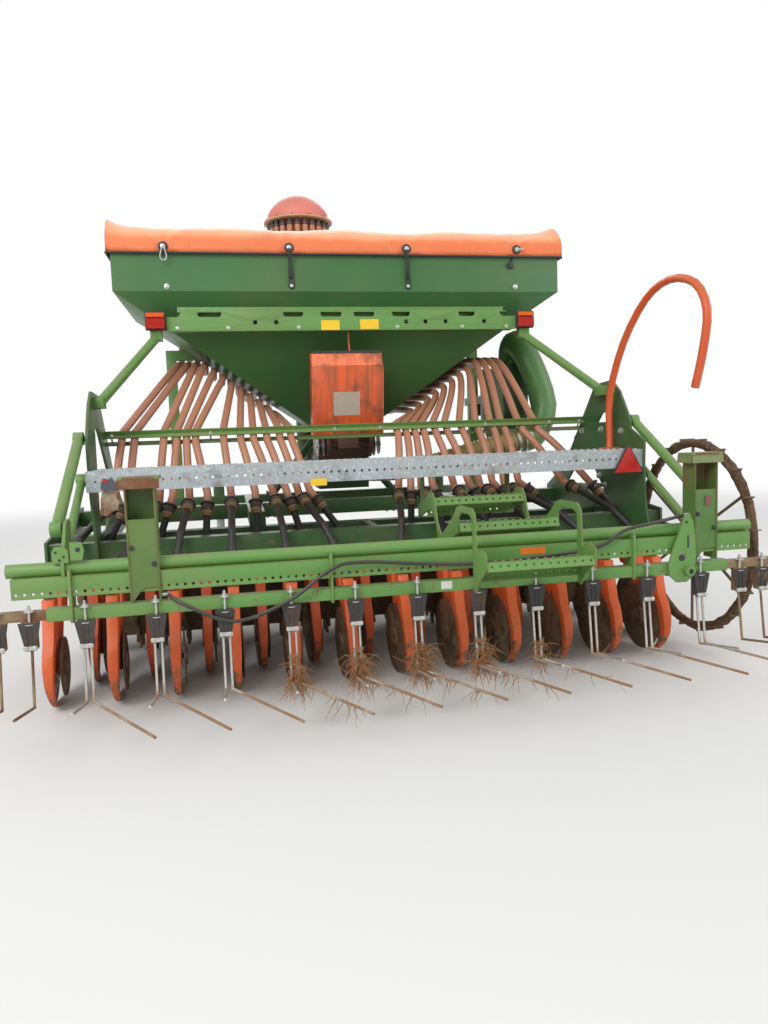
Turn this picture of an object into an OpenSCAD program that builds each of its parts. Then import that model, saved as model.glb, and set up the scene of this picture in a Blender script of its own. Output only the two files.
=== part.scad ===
// Three metre pneumatic seed drill, standing on its packer roller and two
// parking legs. X runs to the right seen from behind, Y forward, Z up.
// The origin is on the floor, at the middle of the machine's length and width.

/* [Rows] */
// Distance between two seed rows
row_pitch = 125; // [118:1:132]
// Distance along the machine between the two coulter rows
row_gap = 300; // [290:1:320]

/* [Packer roller] */
// Diameter over the teeth
roller_d = 580; // [560:1:590]
// Diameter of the drum
drum_d = 430; // [400:1:450]
// Thickness of a toothed ring
ring_t = 14; // [10:1:20]
// Teeth on a ring
ring_teeth = 14; // [14:1:14]
// Diameter of the stub shafts
roller_shaft_d = 50; // [40:1:60]
// Running clearance of shafts and pins, on the radius
run_gap = 0.05; // [0.02:0.01:0.1]
// Gap from scraper to drum
scraper_gap = 6; // [4:1:10]

/* [Frame] */
// Side of the main square tubes
beam = 80; // [70:1:90]
// Height of the main tubes' centre
beam_z = 700; // [690:1:720]
// Half distance between the upper side plates' inner faces
side_x = 1262; // [1258:1:1275]
// Thickness of the side plates and roller arms
plate_t = 12; // [8:1:14]
// Side of the hopper posts
post_w = 60; // [50:1:70]

/* [Coulters] */
// Diameter of the steel disc
disc_d = 320; // [300:1:330]
// Diameter of the plastic guide disc
guide_d = 250; // [230:1:270]
// Thickness of the steel disc
disc_t = 4; // [3:0.5:6]
// Toe-in of the discs
disc_yaw = 3; // [2:0.5:4]
// Diameter of the disc's spindle
spindle_d = 20; // [16:1:24]
// Width of the coulter arm
arm_w = 44; // [36:1:50]
// Width of the arm beside the discs
hub_w = 16; // [12:1:18]

/* [Hopper] */
// Width of the hopper at the rim
hopper_w = 2420; // [2380:1:2460]
// Length of the hopper at the rim
hopper_l = 1050; // [1020:1:1080]
// Height of the rim above the floor
rim_z = 2100; // [2080:1:2120]
// Rise of the cover on its bows
cover_rise = 160; // [150:1:165]
// Wall of the hopper
hopper_wall = 6; // [4:1:10]
// Width of the outlet
outlet_w = 300; // [260:1:320]

/* [Air and seed] */
// Diameter of a seed hose
hose_d = 38; // [32:1:38]
// Diameter of the riser pipe
riser_d = 150; // [130:1:160]
// Diameter of the distributor's flange
head_d = 467; // [440:1:480]
// Diameter of the fan's housing
fan_d = 460; // [430:1:480]
// Diameter of the fan's duct
duct_d = 160; // [150:1:165]

/* [Harrow] */
// Diameter of the harrow's pipe
pipe_d = 50; // [46:1:54]
// Side of the tine bar
tine_bar = 45; // [42:1:50]
// Distance between two double tines
tine_pitch = 240; // [235:1:245]
// Diameter of a tine's wire
tine_d = 10; // [8:1:12]

/* [Spur wheel] */
// Diameter of the spur wheel over the lugs
spur_d = 950; // [920:1:960]
// Diameter of its axle
spur_axle_d = 24; // [20:1:28]

/* [Steps and rail] */
// Depth of the loading board
board_depth = 250; // [220:1:260]
// Height of the board's rear face
board_h = 87; // [80:1:95]
// Diameter of the handrail tube
rail_d = 34; // [30:1:38]
// Width of the steps
step_w = 430; // [400:1:450]

/* [Hitch] */
// Bore for a lower link pin
lower_bore = 28.7; // [28.2:0.1:29.5]
// Bore for a top link pin
top_bore = 25.7; // [25.4:0.1:26.5]
// Distance between the lower hitch points
hitch_spread = 825; // [815:1:835]
// Side of a parking leg's tube
leg_w = 50; // [45:1:55]

/* [Hidden] */

green = [0.20, 0.42, 0.22];
light_green = [0.40, 0.60, 0.36];
dark_green = [0.13, 0.27, 0.15];
orange = [0.85, 0.36, 0.12];
steel = [0.55, 0.56, 0.56];
rust = [0.40, 0.28, 0.20];
black = [0.10, 0.10, 0.10];
hose_brown = [0.62, 0.40, 0.28];

// Rows of coulters, half the roller's length and the machine's length
rows = 24;
half_w = rows * row_pitch / 2;
arm_x = half_w - 22;
head_y = 1180;

// Heights and places along the machine
half_tooth = 90 / ring_teeth;
axle_z = roller_d / 2 * cos(half_tooth);
front_y = -550;
rail_front_y = front_y + 190;
rail_rear_y = rail_front_y - row_gap;
rail_z = beam_z - beam + 5;
beam_front_y = 150;
cross_y = 850;
long_x = 550;
hub_z = disc_d / 2 + 2;
boot_z = hub_z + 310;

// The harrow's parallel links: pivots on the side plates and their reach
link_x = side_x + plate_t + 32;
link_w = 40;
link_pin_d = 25;
link_y = -760;
link_upper_z = 1130;
link_lower_z = 950;
link_dy = -560;
link_dz = -330;
pipe_y = link_y + link_dy - 100;
pipe_z = link_lower_z + link_dz + 50;
bar_y = pipe_y - 30;
bar_z = pipe_z - 155;
bar_half = 1330;
ext_end = bar_half + 270;
ext_bar = tine_bar - 11;

// A tine's wire drops behind its holder and parts into a straight and a wide leg
tine_y = bar_y - tine_bar / 2;
tine_back = 25;
tine_bend_z = bar_z - 315;
leg_straight = [0, -250, 45];
leg_wide = [230, -285, -45];
rear_y = tine_y - tine_back + leg_wide[1]
  - tine_d / 2 * sqrt(1 - pow(leg_wide[1] / norm(leg_wide), 2));
y_mid = (head_y + head_d / 2 + rear_y) / 2;

// The hopper: height, half width, rear and front edge of each section
hopper_y0 = -100;
hopper_y1 = hopper_y0 + hopper_l;
hopper_x = hopper_w / 2;
outlet_y0 = 300;
outlet_y1 = 560;
outlet_z = rim_z - 960;
band_z = rim_z - 224;
neck_z = rim_z - 319;
hopper_sections = [
  [outlet_z, outlet_w / 2, outlet_y0, outlet_y1],
  [neck_z, hopper_x - 140, hopper_y0 + 80, hopper_y1 - 80],
  [band_z, hopper_x, hopper_y0, hopper_y1],
  [rim_z, hopper_x, hopper_y0, hopper_y1]
];

// Air path
head_x = -120;
flange_z = 2567;
riser_z = outlet_z - 260;
fan_x = 1140;
fan_y = 620;
fan_z = 1250;
fan_shaft_d = 30;

// Spur wheel
spur_x = half_w + 45;
spur_y = -900;
spur_z = 560;
spur_pivot_y = -250;
spur_pivot_z = 620;

// Board, steps and handrail
board_y = -930;
board_z = 992;
step_x = 205;

function disc_x(i) = (i - 1 - (rows - 1) / 2) * row_pitch;
function is_rear(i) = i % 2 == 1;
function disc_y(i) = is_rear(i) ? front_y - row_gap : front_y;

module at_origin() { translate([0, -y_mid, 0]) children(); }

module box(x0, x1, y0, y1, z0, z1) {
  translate([x0, y0, z0]) cube([x1 - x0, y1 - y0, z1 - z0]);
}

// A round bar between two points
module rod(p, q, d) {
  v = q - p;
  l = norm(v);
  translate(p) rotate([0, acos(v[2] / l), atan2(v[1], v[0])]) cylinder(h = l, d = d, $fn = 32);
}

// A chain of round bars whose corners are balls
module bent_rod(pts, d, ball = 1.08) {
  for (i = [0 : len(pts) - 2]) rod(pts[i], pts[i + 1], d);
  for (i = [1 : len(pts) - 2]) translate(pts[i]) sphere(d = d * ball, $fn = 32);
}

// A plate whose outline lies in Y and Z, from x to x + t
module plate_yz(x, t) { translate([x, 0, 0]) rotate([90, 0, 90]) linear_extrude(t) children(); }

// A plate whose outline lies in X and Z, from y to y + t
module plate_xz(y, t) { translate([0, y + t, 0]) rotate([90, 0, 0]) linear_extrude(t) children(); }

module both_sides() {
  children();
  mirror([1, 0, 0]) children();
}

// A solid through rectangular sections of [z, half width, rear y, front y]
module loft(sections) {
  n = len(sections);
  points = [for (s = sections) each [
    [-s[1], s[2], s[0]], [s[1], s[2], s[0]], [s[1], s[3], s[0]], [-s[1], s[3], s[0]]]];
  sides = [for (j = [0 : n - 2], k = [0 : 3])
    [j * 4 + k, (j + 1) * 4 + k, (j + 1) * 4 + (k + 1) % 4, j * 4 + (k + 1) % 4]];
  polyhedron(points, concat([[0, 1, 2, 3]], sides,
    [[for (k = [3 : -1 : 0]) (n - 1) * 4 + k]]), convexity = 4);
}

// Catmull-Rom point between p[i] and p[i + 1]
function pick(p, i) = p[max(0, min(len(p) - 1, i))];
function spline_at(p, i, t) =
  let (a = pick(p, i - 1), b = pick(p, i), c = pick(p, i + 1), d = pick(p, i + 2))
  0.5 * (2 * b + (c - a) * t + (2 * a - 5 * b + 4 * c - d) * t * t
    + (3 * b - a - 3 * c + d) * t * t * t);
function smooth(p, steps) = concat(
  [for (i = [0 : len(p) - 2], j = [0 : steps - 1]) spline_at(p, i, j / steps)], [p[len(p) - 1]]);
function unit(v) = v / norm(v);

// A round tube along a path that never runs straight along X
module sweep(path, d, sides) {
  n = len(path);
  function tangent(j) = unit(path[min(n - 1, j + 1)] - path[max(0, j - 1)]);
  points = [for (j = [0 : n - 1])
    let (t = tangent(j), u = unit(cross(t, [1, 0, 0])), w = cross(t, u))
    for (k = [0 : sides - 1])
      path[j] + d / 2 * (cos(360 * k / sides) * u + sin(360 * k / sides) * w)];
  faces = concat([[for (k = [0 : sides - 1]) k]],
    [for (j = [0 : n - 2], k = [0 : sides - 1]) let (m = (k + 1) % sides)
      [j * sides + k, (j + 1) * sides + k, (j + 1) * sides + m, j * sides + m]],
    [[for (k = [sides - 1 : -1 : 0]) (n - 1) * sides + k]]);
  polyhedron(points, faces, convexity = 6);
}

// A round tube along a path that never runs straight along Y
module sweep_across(path, d, sides) {
  rotate([0, 0, 90]) sweep([for (p = path) [p[1], -p[0], p[2]]], d, sides);
}

module roller_arm() {
  plate_yz(arm_x, plate_t) difference() {
    union() {
      polygon([[-70, axle_z], [-130, rail_z - beam], [rail_rear_y - 60, rail_z - 55],
        [rail_rear_y - 60, rail_z + 55], [beam_front_y - 60, beam_z + 60],
        [beam_front_y + 60, beam_z + 60], [beam_front_y + 60, beam_z - 60], [70, axle_z]]);
      translate([0, axle_z]) circle(d = 150, $fn = 48);
    }
    translate([0, axle_z]) circle(d = roller_shaft_d + 2 * run_gap, $fn = 48);
  }
}

module side_plate() {
  plate_yz(side_x, plate_t) difference() {
    polygon([[beam_front_y + 60, beam_z - 60], [beam_front_y + 60, beam_z + 60],
      [-60, 900], [-440, 1330], [-620, 1340], [-700, 1280], [link_y - 45, link_upper_z],
      [link_y - 45, link_lower_z - 40], [-730, rail_z - 55], [-625, rail_z - 55],
      [-610, rail_z + 32], [-420, rail_z + 32], [-405, rail_z - 35], [-310, rail_z - 35]]);
    polygon([[-90, 800], [-330, 780], [-440, rail_z + 74], [-630, rail_z + 74],
      [-600, 1170], [-520, 1180]]);
  }
}

module link_pins() {
  for (z = [link_upper_z, link_lower_z])
    translate([side_x + plate_t, link_y, z]) rotate([0, 90, 0])
      cylinder(h = link_w + 16, d = link_pin_d, $fn = 32);
}

module main_frame() {
  color(green) at_origin() {
    box(-arm_x, arm_x, beam_front_y - beam / 2, beam_front_y + beam / 2,
      beam_z - beam / 2, beam_z + beam / 2);
    for (y = [rail_front_y, rail_rear_y])
      box(-arm_x, arm_x, y - beam / 2, y + beam / 2, rail_z - beam / 2, rail_z + beam / 2);
    both_sides() {
      box(long_x - beam / 2, long_x + beam / 2, rail_front_y - beam / 2, cross_y - beam / 2,
        beam_z - beam / 2, beam_z + beam / 2);
      roller_arm();
      side_plate();
      link_pins();
    }
    box(-20, 20, rail_rear_y, rail_front_y, rail_z - beam / 2, rail_z + beam / 2);
    translate([arm_x + plate_t, spur_pivot_y, spur_pivot_z]) rotate([0, 90, 0])
      cylinder(h = 30, d = spur_axle_d, $fn = 32);
  }
}

module headstock() {
  sleeve = leg_w + 1;
  color(green) at_origin() {
    box(-1060, 1060, cross_y - beam / 2, cross_y + beam / 2,
      beam_z - beam / 2, beam_z + beam / 2);
    for (side = [-1, 1], dx = [-30, 18])
      plate_yz(side * hitch_spread / 2 + dx, 12) difference() {
        polygon([[cross_y - 40, beam_z - 60], [cross_y - 40, beam_z + 60],
          [cross_y + 40, beam_z + 60], [cross_y + 170, beam_z - 70],
          [cross_y + 170, beam_z - 130], [cross_y + 90, beam_z - 130]]);
        translate([cross_y + 130, beam_z - 95]) circle(d = lower_bore, $fn = 48);
      }
    for (side = [-1, 1])
      rod([side * 420, cross_y, beam_z + 20], [side * 36, cross_y + 10, 1180], 50);
    for (x = [-42, 30])
      plate_yz(x, 12) difference() {
        polygon([[cross_y - 40, 1120], [cross_y - 40, 1230], [cross_y + 140, 1230],
          [cross_y + 160, 1180], [cross_y + 120, 1150]]);
        translate([cross_y + 120, 1190]) circle(d = top_bore, $fn = 48);
      }
    box(-42, 42, cross_y - 40, cross_y + 40, 1120, 1180);
    both_sides() difference() {
      box(750 - 35, 750 + 35, cross_y + beam / 2, cross_y + beam / 2 + 70, 620, 820);
      box(750 - sleeve / 2, 750 + sleeve / 2, cross_y + beam / 2 + 35 - sleeve / 2,
        cross_y + beam / 2 + 35 + sleeve / 2, 600, 840);
    }
  }
}

module parking_leg(side) {
  y = cross_y + beam / 2 + 35;
  color(steel) at_origin() translate([side * 750, y, 0]) {
    translate([-leg_w / 2, -leg_w / 2, 0]) cube([leg_w, leg_w, 900]);
    translate([-70, -70, 0]) cube([140, 140, 10]);
  }
}
module leg_left() { parking_leg(-1); }
module leg_right() { parking_leg(1); }

module toothed_ring(turn) {
  step = 360 / ring_teeth;
  rotate([0, 90, 0]) rotate(turn) linear_extrude(ring_t, center = true)
    polygon([for (k = [0 : ring_teeth - 1], s = [[0, roller_d / 2], [0.2, roller_d / 2 - 6],
      [0.34, drum_d / 2 + 18], [0.86, drum_d / 2 + 18]])
      s[1] * [cos((k + s[0]) * step), sin((k + s[0]) * step)]]);
}

module packer_roller() {
  drum_half = half_w - 40;
  color(rust) at_origin() translate([0, 0, axle_z]) {
    translate([-drum_half, 0, 0]) rotate([0, 90, 0])
      cylinder(h = 2 * drum_half, d = drum_d, $fn = 64);
    translate([-arm_x - plate_t - 15, 0, 0]) rotate([0, 90, 0])
      cylinder(h = 2 * (arm_x + plate_t + 15), d = roller_shaft_d, $fn = 48);
    for (i = [1 : rows]) translate([disc_x(i), 0, 0]) toothed_ring((is_rear(i) ? 1 : -1) * half_tooth);
  }
}

module scrapers() {
  bar_yy = -335;
  bar_zz = 425;
  a = atan2(bar_zz - axle_z, bar_yy);
  reach = drum_d / 2 + scraper_gap;
  far = norm([bar_yy, bar_zz - axle_z]);
  color(green) at_origin() {
    box(-arm_x, arm_x, bar_yy - 25, bar_yy + 25, bar_zz - 25, bar_zz + 25);
    for (i = [1 : rows - 1]) translate([disc_x(i) + row_pitch / 2 - 35, 0, axle_z])
      rotate([a, 0, 0]) translate([0, reach, -4]) cube([70, far - reach, 8]);
    both_sides() plate_yz(arm_x - plate_t, plate_t)
      polygon([[bar_yy - 25, bar_zz - 25], [bar_yy + 20, bar_zz - 25],
        [rail_front_y + 40, rail_z - beam / 2], [rail_front_y - 30, rail_z - beam / 2]]);
  }
}

// A notch in a plate's upper edge, with rounded corners below
module rail_notch(w, depth) {
  r = 14;
  translate([r, 0]) square([w - 2 * r, depth + 1]);
  translate([0, r]) square([w, depth + 1 - r]);
  for (x = [r, w - r]) translate([x, r]) circle(r = r, $fn = 32);
}

module rear_rail_outline() {
  top = neck_z;
  low = neck_z - 109;
  difference() {
    polygon([[-1068, top], [1068, top], [956, low], [-956, low]]);
    for (n = [[-1100, 215], [-795, 120], [-350, 105], [-150, 112], [30, 112], [243, 98],
      [622, 92], [865, 235]])
      translate([n[0], top - 35]) rail_notch(n[1], 35);
    for (x = [-500, -390, 320, 430, 545, 770]) translate([x, low + 45]) circle(d = 22, $fn = 24);
  }
}

// Height at which the hopper's sloping faces stand over a place y, rear and front
function hopper_rear_z(y) =
  neck_z + (hopper_y0 + 80 - y) / 80 * (band_z - neck_z);
function hopper_front_z(y) =
  outlet_z + (y - outlet_y1) / (hopper_y1 - 80 - outlet_y1) * (neck_z - outlet_z);
seat_gap = 0.3;

module hopper_frame() {
  saddle_z = hopper_front_z(cross_y - 30) - seat_gap;
  color(light_green) at_origin() {
    box(-900, 900, -92, -40, neck_z - 12, neck_z - 6);
    box(-900, 900, -46, -40, neck_z - 60, hopper_rear_z(-40) - seat_gap);
    plate_xz(-92, 6) rear_rail_outline();
    box(-940, 940, -92, -30, neck_z - 109, neck_z - 103);
    both_sides() {
      rod([1010, -64, neck_z - 135], [side_x - 22, -560, 1290], 45);
      box(980, 1040, -86, -40, neck_z - 155, neck_z - 20);
      box(side_x - 45, side_x, -600, -520, 1265, 1315);
      box(1000 - post_w / 2, 1000 + post_w / 2, cross_y - post_w / 2, cross_y + post_w / 2,
        beam_z + beam / 2, saddle_z);
    }
    box(-1030, 1030, cross_y - 30, cross_y + 30, saddle_z - 60, saddle_z);
    box(940, 970, 330, cross_y - 20, 1280, 1330);
    box(940, 985, cross_y - 30, cross_y, 1280, 1330);
  }
}

module hopper() {
  w = hopper_wall;
  inner = [for (s = hopper_sections) [s[0], s[1] - w, s[2] + w, s[3] - w]];
  cut = concat([[inner[0][0] - 1, inner[0][1], inner[0][2], inner[0][3]]],
    [for (j = [1 : 2]) inner[j]],
    [[rim_z + 1, inner[3][1], inner[3][2], inner[3][3]]]);
  color(green) at_origin() {
    difference() {
      loft(hopper_sections);
      loft(cut);
    }
    difference() {
      box(-hopper_x - 12, hopper_x + 12, hopper_y0 - 12, hopper_y1 + 12, rim_z - 20, rim_z);
      box(-hopper_x, hopper_x, hopper_y0, hopper_y1, rim_z - 21, rim_z + 1);
    }
  }
}

// Outline of the cover over its bows, half an ellipse between two upright hems
function cover_arc(y0, y1, z, rise) = [for (k = [0 : 16])
  [(y0 + y1) / 2 - (y1 - y0) / 2 * cos(180 * k / 16), z + rise * sin(180 * k / 16)]];

module tarp() {
  t = 5;
  y0 = hopper_y0 - 12 - seat_gap - t;
  y1 = hopper_y1 + 12 + seat_gap + t;
  hem = rim_z - 32;
  x = hopper_x + 12 + seat_gap + t;
  color(orange) at_origin() difference() {
    plate_yz(-x, 2 * x) polygon(concat([[y0, hem]], cover_arc(y0, y1, rim_z + 20, cover_rise), [[y1, hem]]));
    plate_yz(-x + t, 2 * x - 2 * t) polygon(concat([[y0 + t, hem - 1]],
      cover_arc(y0 + t, y1 - t, rim_z + 20 - t, cover_rise), [[y1 - t, hem - 1]]));
  }
}

module tail_lamps() {
  color([0.75, 0.15, 0.08]) at_origin() both_sides()
    box(955, 1060, -132, -92.3, neck_z - 104, neck_z - 8);
}

module calibration_tray() {
  low = outlet_z - 30;
  top = neck_z - 230;
  color(orange) at_origin() difference() {
    plate_yz(-215, 390) polygon([[-95, top], [-128, top - 75], [-60, low], [40, low],
      [60, low + 60], [-30, top]]);
    plate_yz(-209, 378) polygon([[-88, top + 1], [-121, top - 75], [-55, low + 6],
      [36, low + 6], [53, low + 60], [-37, top + 1]]);
  }
  color(steel) at_origin()
    bent_rod([[0, -94, top - 6], [0, -62, top + 60], [0, -62, neck_z - 109 - seat_gap]], 10);
}

module metering_unit() {
  color([0.45, 0.32, 0.30]) at_origin() {
    box(-outlet_w / 2, outlet_w / 2, outlet_y0, outlet_y1, outlet_z - 180, outlet_z);
    box(-40, 90, outlet_y0 - 50, outlet_y0, outlet_z - 120, outlet_z - 10);
    for (s = [[-110, 130, 24], [140, 150, 20]])
      translate([s[0], outlet_y0 - 40, outlet_z - 90]) rotate([0, 90, 0])
        cylinder(h = s[2], d = s[1], $fn = 48);
    translate([-110, outlet_y0 - 40, outlet_z - 90]) rotate([0, 90, 0])
      cylinder(h = 270, d = 25, $fn = 32);
  }
}

module riser_pipe() {
  r = 220;
  color(green) at_origin() {
    box(-outlet_w / 2, outlet_w / 2, outlet_y0, outlet_y1, riser_z - 90, outlet_z - 180);
    translate([head_x, outlet_y1, riser_z]) rotate([-90, 0, 0])
      cylinder(h = head_y - r - outlet_y1, d = riser_d, $fn = 64);
    translate([head_x, head_y - r, riser_z + r]) rotate([90, 0, 90]) rotate([0, 0, -90])
      rotate_extrude(angle = 90, $fn = 64) translate([r, 0]) circle(d = riser_d, $fn = 64);
    translate([head_x, head_y, riser_z + r])
      cylinder(h = flange_z - 120 - riser_z - r, d = riser_d, $fn = 64);
  }
}

// Angle of a hose's outlet on the distributor: side, number from the inside
function outlet_angle(side, k) = let (a = 82.5 - 15 * floor(k / 2), front = k % 2 == 0)
  side > 0 ? (front ? a : -a) : (front ? 180 - a : 180 + a);
outlet_r = 195;

module distributor_head() {
  color([0.80, 0.45, 0.38]) at_origin() translate([head_x, head_y, 0]) {
    translate([0, 0, flange_z - 120]) cylinder(h = 30, d = 300, $fn = 64);
    translate([0, 0, flange_z - 90]) cylinder(h = 82, d = head_d - 30, $fn = 64);
    translate([0, 0, flange_z - 8]) cylinder(h = 16, d = head_d, $fn = 64);
    translate([0, 0, flange_z + 8]) intersection() {
      translate([0, 0, -60]) sphere(d = 460, $fn = 64);
      cylinder(h = 180, d = 410, $fn = 64);
    }
    for (side = [-1, 1], k = [0 : rows / 2 - 1])
      rotate(outlet_angle(side, k)) translate([outlet_r, 0, flange_z - 125])
        cylinder(h = 40, d = hose_d, $fn = 24);
  }
}

// Couplers between hoses and coulter tubes, numbered k from the inside
coupler_y = -470;
coupler_z = 800;
left_couplers = [262, 327, 392, 460, 558, 674, 790, 879, 965, 1030, 1170, 1240];
right_couplers = [164, 227, 295, 358, 480, 560, 629, 701, 767, 851, 1100, 1225];
function coupler_x(side, k) = side < 0 ? -left_couplers[k] : right_couplers[k];
function coulter_of(side, k) = side < 0 ? rows / 2 - k : rows / 2 + 1 + k;
function tube_foot(side, k) = let (i = coulter_of(side, k))
  [disc_x(i), disc_y(i) - 60, boot_z + 40];
// The tubes of the rear row pass over the rear coulter rail
function tube_bend(side, k) = let (i = coulter_of(side, k)) is_rear(i)
  ? [[(coupler_x(side, k) + disc_x(i)) / 2, rail_rear_y - beam, rail_z + 65]] : [];
function tube_route(side, k) = concat([[coupler_x(side, k), coupler_y, coupler_z]],
  tube_bend(side, k), [tube_foot(side, k)]);

// Bar that the hoses lie on, and the one that holds them down
guide_y = -290;
guide_z = 1120;
guide_bar_d = 20;
guide_dir = [0, 0.6, -0.8];
guide_run = [0, -0.8, -0.6];
// Where the hoses cross the bars, from the inside
left_crossings = [357, 414, 480, 546, 611, 696, 834, 878, 926, 989, 1128, 1189];
right_crossings = [204, 252, 300, 348, 412, 478, 562, 653, 738, 800, 900, 990];

// Route of one seed hose from the distributor down the hopper's front, under
// its funnel and over the guide bar to the coupler
function hose_route(side, k) = let (a = outlet_angle(side, k), even = k % 2 == 0,
  top = [head_x + outlet_r * cos(a), head_y + outlet_r * sin(a), flange_z - 125],
  tube = tube_route(side, k), end = tube[0], dir = unit(tube[1] - tube[0]),
  x = side * (390 + 50 * k), y = even ? 1125 : 1035, z = min(1258 + 34 * k, 1530),
  guide = [side < 0 ? -left_crossings[k] : right_crossings[k], guide_y, guide_z],
  low = end - 50 * dir, past = guide + 40 * guide_run)
  concat([top], smooth([
    top - [0, 0, 40 + 10 * (rows / 2 - k)],
    [x, y, 1900],
    [x, y - 10, z + 190],
    [x, 860, z + 15],
    [x, 540, z],
    [x, 130, z - 30],
    guide - 60 * guide_run], 2), smooth([
    past,
    past + 0.38 * (low - past) + [0, -18, 8],
    low], 2), [end - seat_gap * dir]);

module seed_hoses() {
  color(hose_brown) at_origin() for (side = [-1, 1], k = [0 : rows / 2 - 1])
    sweep(hose_route(side, k), hose_d, 8);
}

module seed_tubes() {
  color(black) at_origin() for (side = [-1, 1], k = [0 : rows / 2 - 1]) {
    route = tube_route(side, k);
    foot = tube_foot(side, k);
    dir = unit(route[1] - route[0]);
    rod(route[0], route[0] + 55 * dir, 52);
    bent_rod(concat([route[0] + 30 * dir], [for (j = [1 : len(route) - 1]) route[j]],
      [foot - [0, 0, 40 - seat_gap]]), 34, 1.2);
    translate(foot - [0, 0, 40 - seat_gap]) cylinder(h = 30, d = 46, $fn = 32);
  }
}

module hose_rails() {
  reach = hose_d / 2 + guide_bar_d / 2;
  color(light_green) at_origin() for (k = [0, 1])
    translate([-side_x, guide_y, guide_z] + (2 * k - 1) * (reach + seat_gap) * guide_dir)
      rotate([0, 90, 0])
      cylinder(h = 2 * side_x, d = guide_bar_d, $fn = 32);
}

module fan_housing() {
  color(dark_green) at_origin() translate([fan_x, fan_y, fan_z]) {
    difference() {
      union() {
        rotate([0, 90, 0]) cylinder(h = 160, d = fan_d, center = true, $fn = 64);
        translate([-80, -fan_d / 2, 0]) cube([160, 170, 270]);
      }
      rotate([0, 90, 0]) cylinder(h = 148, d = fan_d - 12, center = true, $fn = 64);
      translate([-74, -fan_d / 2 + 6, 0]) cube([148, 158, 310]);
      translate([60, 0, 0]) rotate([0, 90, 0]) cylinder(h = 60, d = 260, $fn = 48);
      translate([-90, 0, 0]) rotate([0, 90, 0])
        cylinder(h = 40, d = fan_shaft_d + 2 * run_gap, $fn = 32);
    }
    difference() {
      translate([-110, -40, -40]) cube([30, cross_y + post_w / 2 - fan_y + 40, 80]);
      translate([-120, 0, 0]) rotate([0, 90, 0])
        cylinder(h = 50, d = fan_shaft_d + 2 * run_gap, $fn = 32);
    }
  }
}

module fan_impeller() {
  color(steel) at_origin() translate([fan_x, fan_y, fan_z]) {
    translate([-60, 0, 0]) rotate([0, 90, 0]) cylinder(h = 6, d = 380, $fn = 64);
    translate([-60, 0, 0]) rotate([0, 90, 0]) cylinder(h = 76, d = 60, $fn = 32);
    translate([-108, 0, 0]) rotate([0, 90, 0]) cylinder(h = 60, d = fan_shaft_d, $fn = 32);
    for (k = [0 : 9]) rotate([36 * k, 0, 0]) translate([-56, 100, -3]) cube([100, 85, 6]);
  }
}

// Centre lines of the fan's duct and of the hose to the injector
duct_end = [fan_x - 40, 230, fan_z - 210];
duct_start = [fan_x, fan_y - 145, fan_z + 270 + seat_gap];
duct_dir = unit([-260, -10, -60]);
duct_route = concat([duct_start], smooth([duct_start + [0, 0, 40],
  [fan_x - 5, 430, fan_z + 385], [fan_x + 5, 350, fan_z + 385],
  [fan_x + 60, 290, fan_z + 250], [fan_x + 130, 260, fan_z], [fan_x + 60, 240, fan_z - 170],
  duct_end - 40 * duct_dir], 3), [duct_end]);
air_end = [outlet_w / 2, 430, riser_z];
air_route = concat([duct_end + seat_gap * duct_dir], smooth([duct_end + 30 * duct_dir,
  [820, 225, 985], [560, 235, 920], [330, 340, 885], air_end + [40, 0, 0]], 4),
  [air_end + [seat_gap, 0, 0]]);

module fan_duct() {
  color(green) at_origin() sweep_across(duct_route, duct_d, 16);
}

module air_hose() {
  color([0.70, 0.62, 0.35]) at_origin() sweep_across(air_route, 130, 12);
}

module gearbox() {
  color(dark_green) at_origin() box(880, 1000, 250, 330, 1120, 1480);
}

module perforated(w, h, d, pitch) {
  difference() {
    square([w, h]);
    for (k = [0 : floor(w / pitch) - 1])
      translate([(w - (floor(w / pitch) - 1) * pitch) / 2 + k * pitch, h / 2])
        circle(d = d, $fn = 24);
  }
}

module loading_board() {
  w = side_x - 6;
  color(steel) at_origin() {
    plate_xz(board_y, 5) translate([-w, board_z - board_h]) perforated(2 * w, board_h, 11, 34);
    box(-w, w, board_y, board_y + board_depth, board_z - 5, board_z);
    both_sides() box(w - 1, side_x, board_y, board_y + board_depth,
      board_z - board_h, board_z);
  }
}

// Side of the steps: it drops behind each tread and rises again along the next,
// and hangs on a strip below the board
module stringer(x) {
  plate_yz(x, 6) {
    polygon([[-700, 758], [-800, 795], [-925, 838], [-975, 838], [-1005, 800], [-1040, 715],
      [-1095, 662], [-1200, 712], [-1290, 765], [-1335, 802], [-1380, 815], [-1535, 815],
      [-1568, 790], [-1578, 648], [-1640, 672], [-1684, 660], [-1692, 608], [-1600, 545],
      [-1566, 500], [-1536, 505], [-1536, 772], [-1500, 788], [-1400, 788], [-1362, 762],
      [-1355, 700], [-1290, 680], [-1180, 640], [-1090, 615], [-1045, 630], [-1000, 715],
      [-950, 755], [-880, 748], [-700, 694]]);
    polygon([[-800, 770], [-800, board_z - 5 - seat_gap], [-750, board_z - 5 - seat_gap],
      [-750, 750]]);
  }
}

// A tread is a channel that opens downward, its rear edge higher
tread_tilt = 24;
tread_l = 150;
tread_h = 38;
module tread(y, z) {
  w = step_w - 8;
  translate([step_x + 4, y, z]) rotate([-tread_tilt, 0, 0]) {
    box(0, w, 0, tread_l, -4, 0);
    for (s = [0, tread_l - 4]) plate_xz(s, 4) translate([0, -tread_h])
      perforated(w, tread_h, 9, 32);
    for (k = [0 : 11]) translate([35 + 32 * k, 2, -1]) cylinder(h = 5, d = 12, $fn = 24);
  }
}

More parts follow.
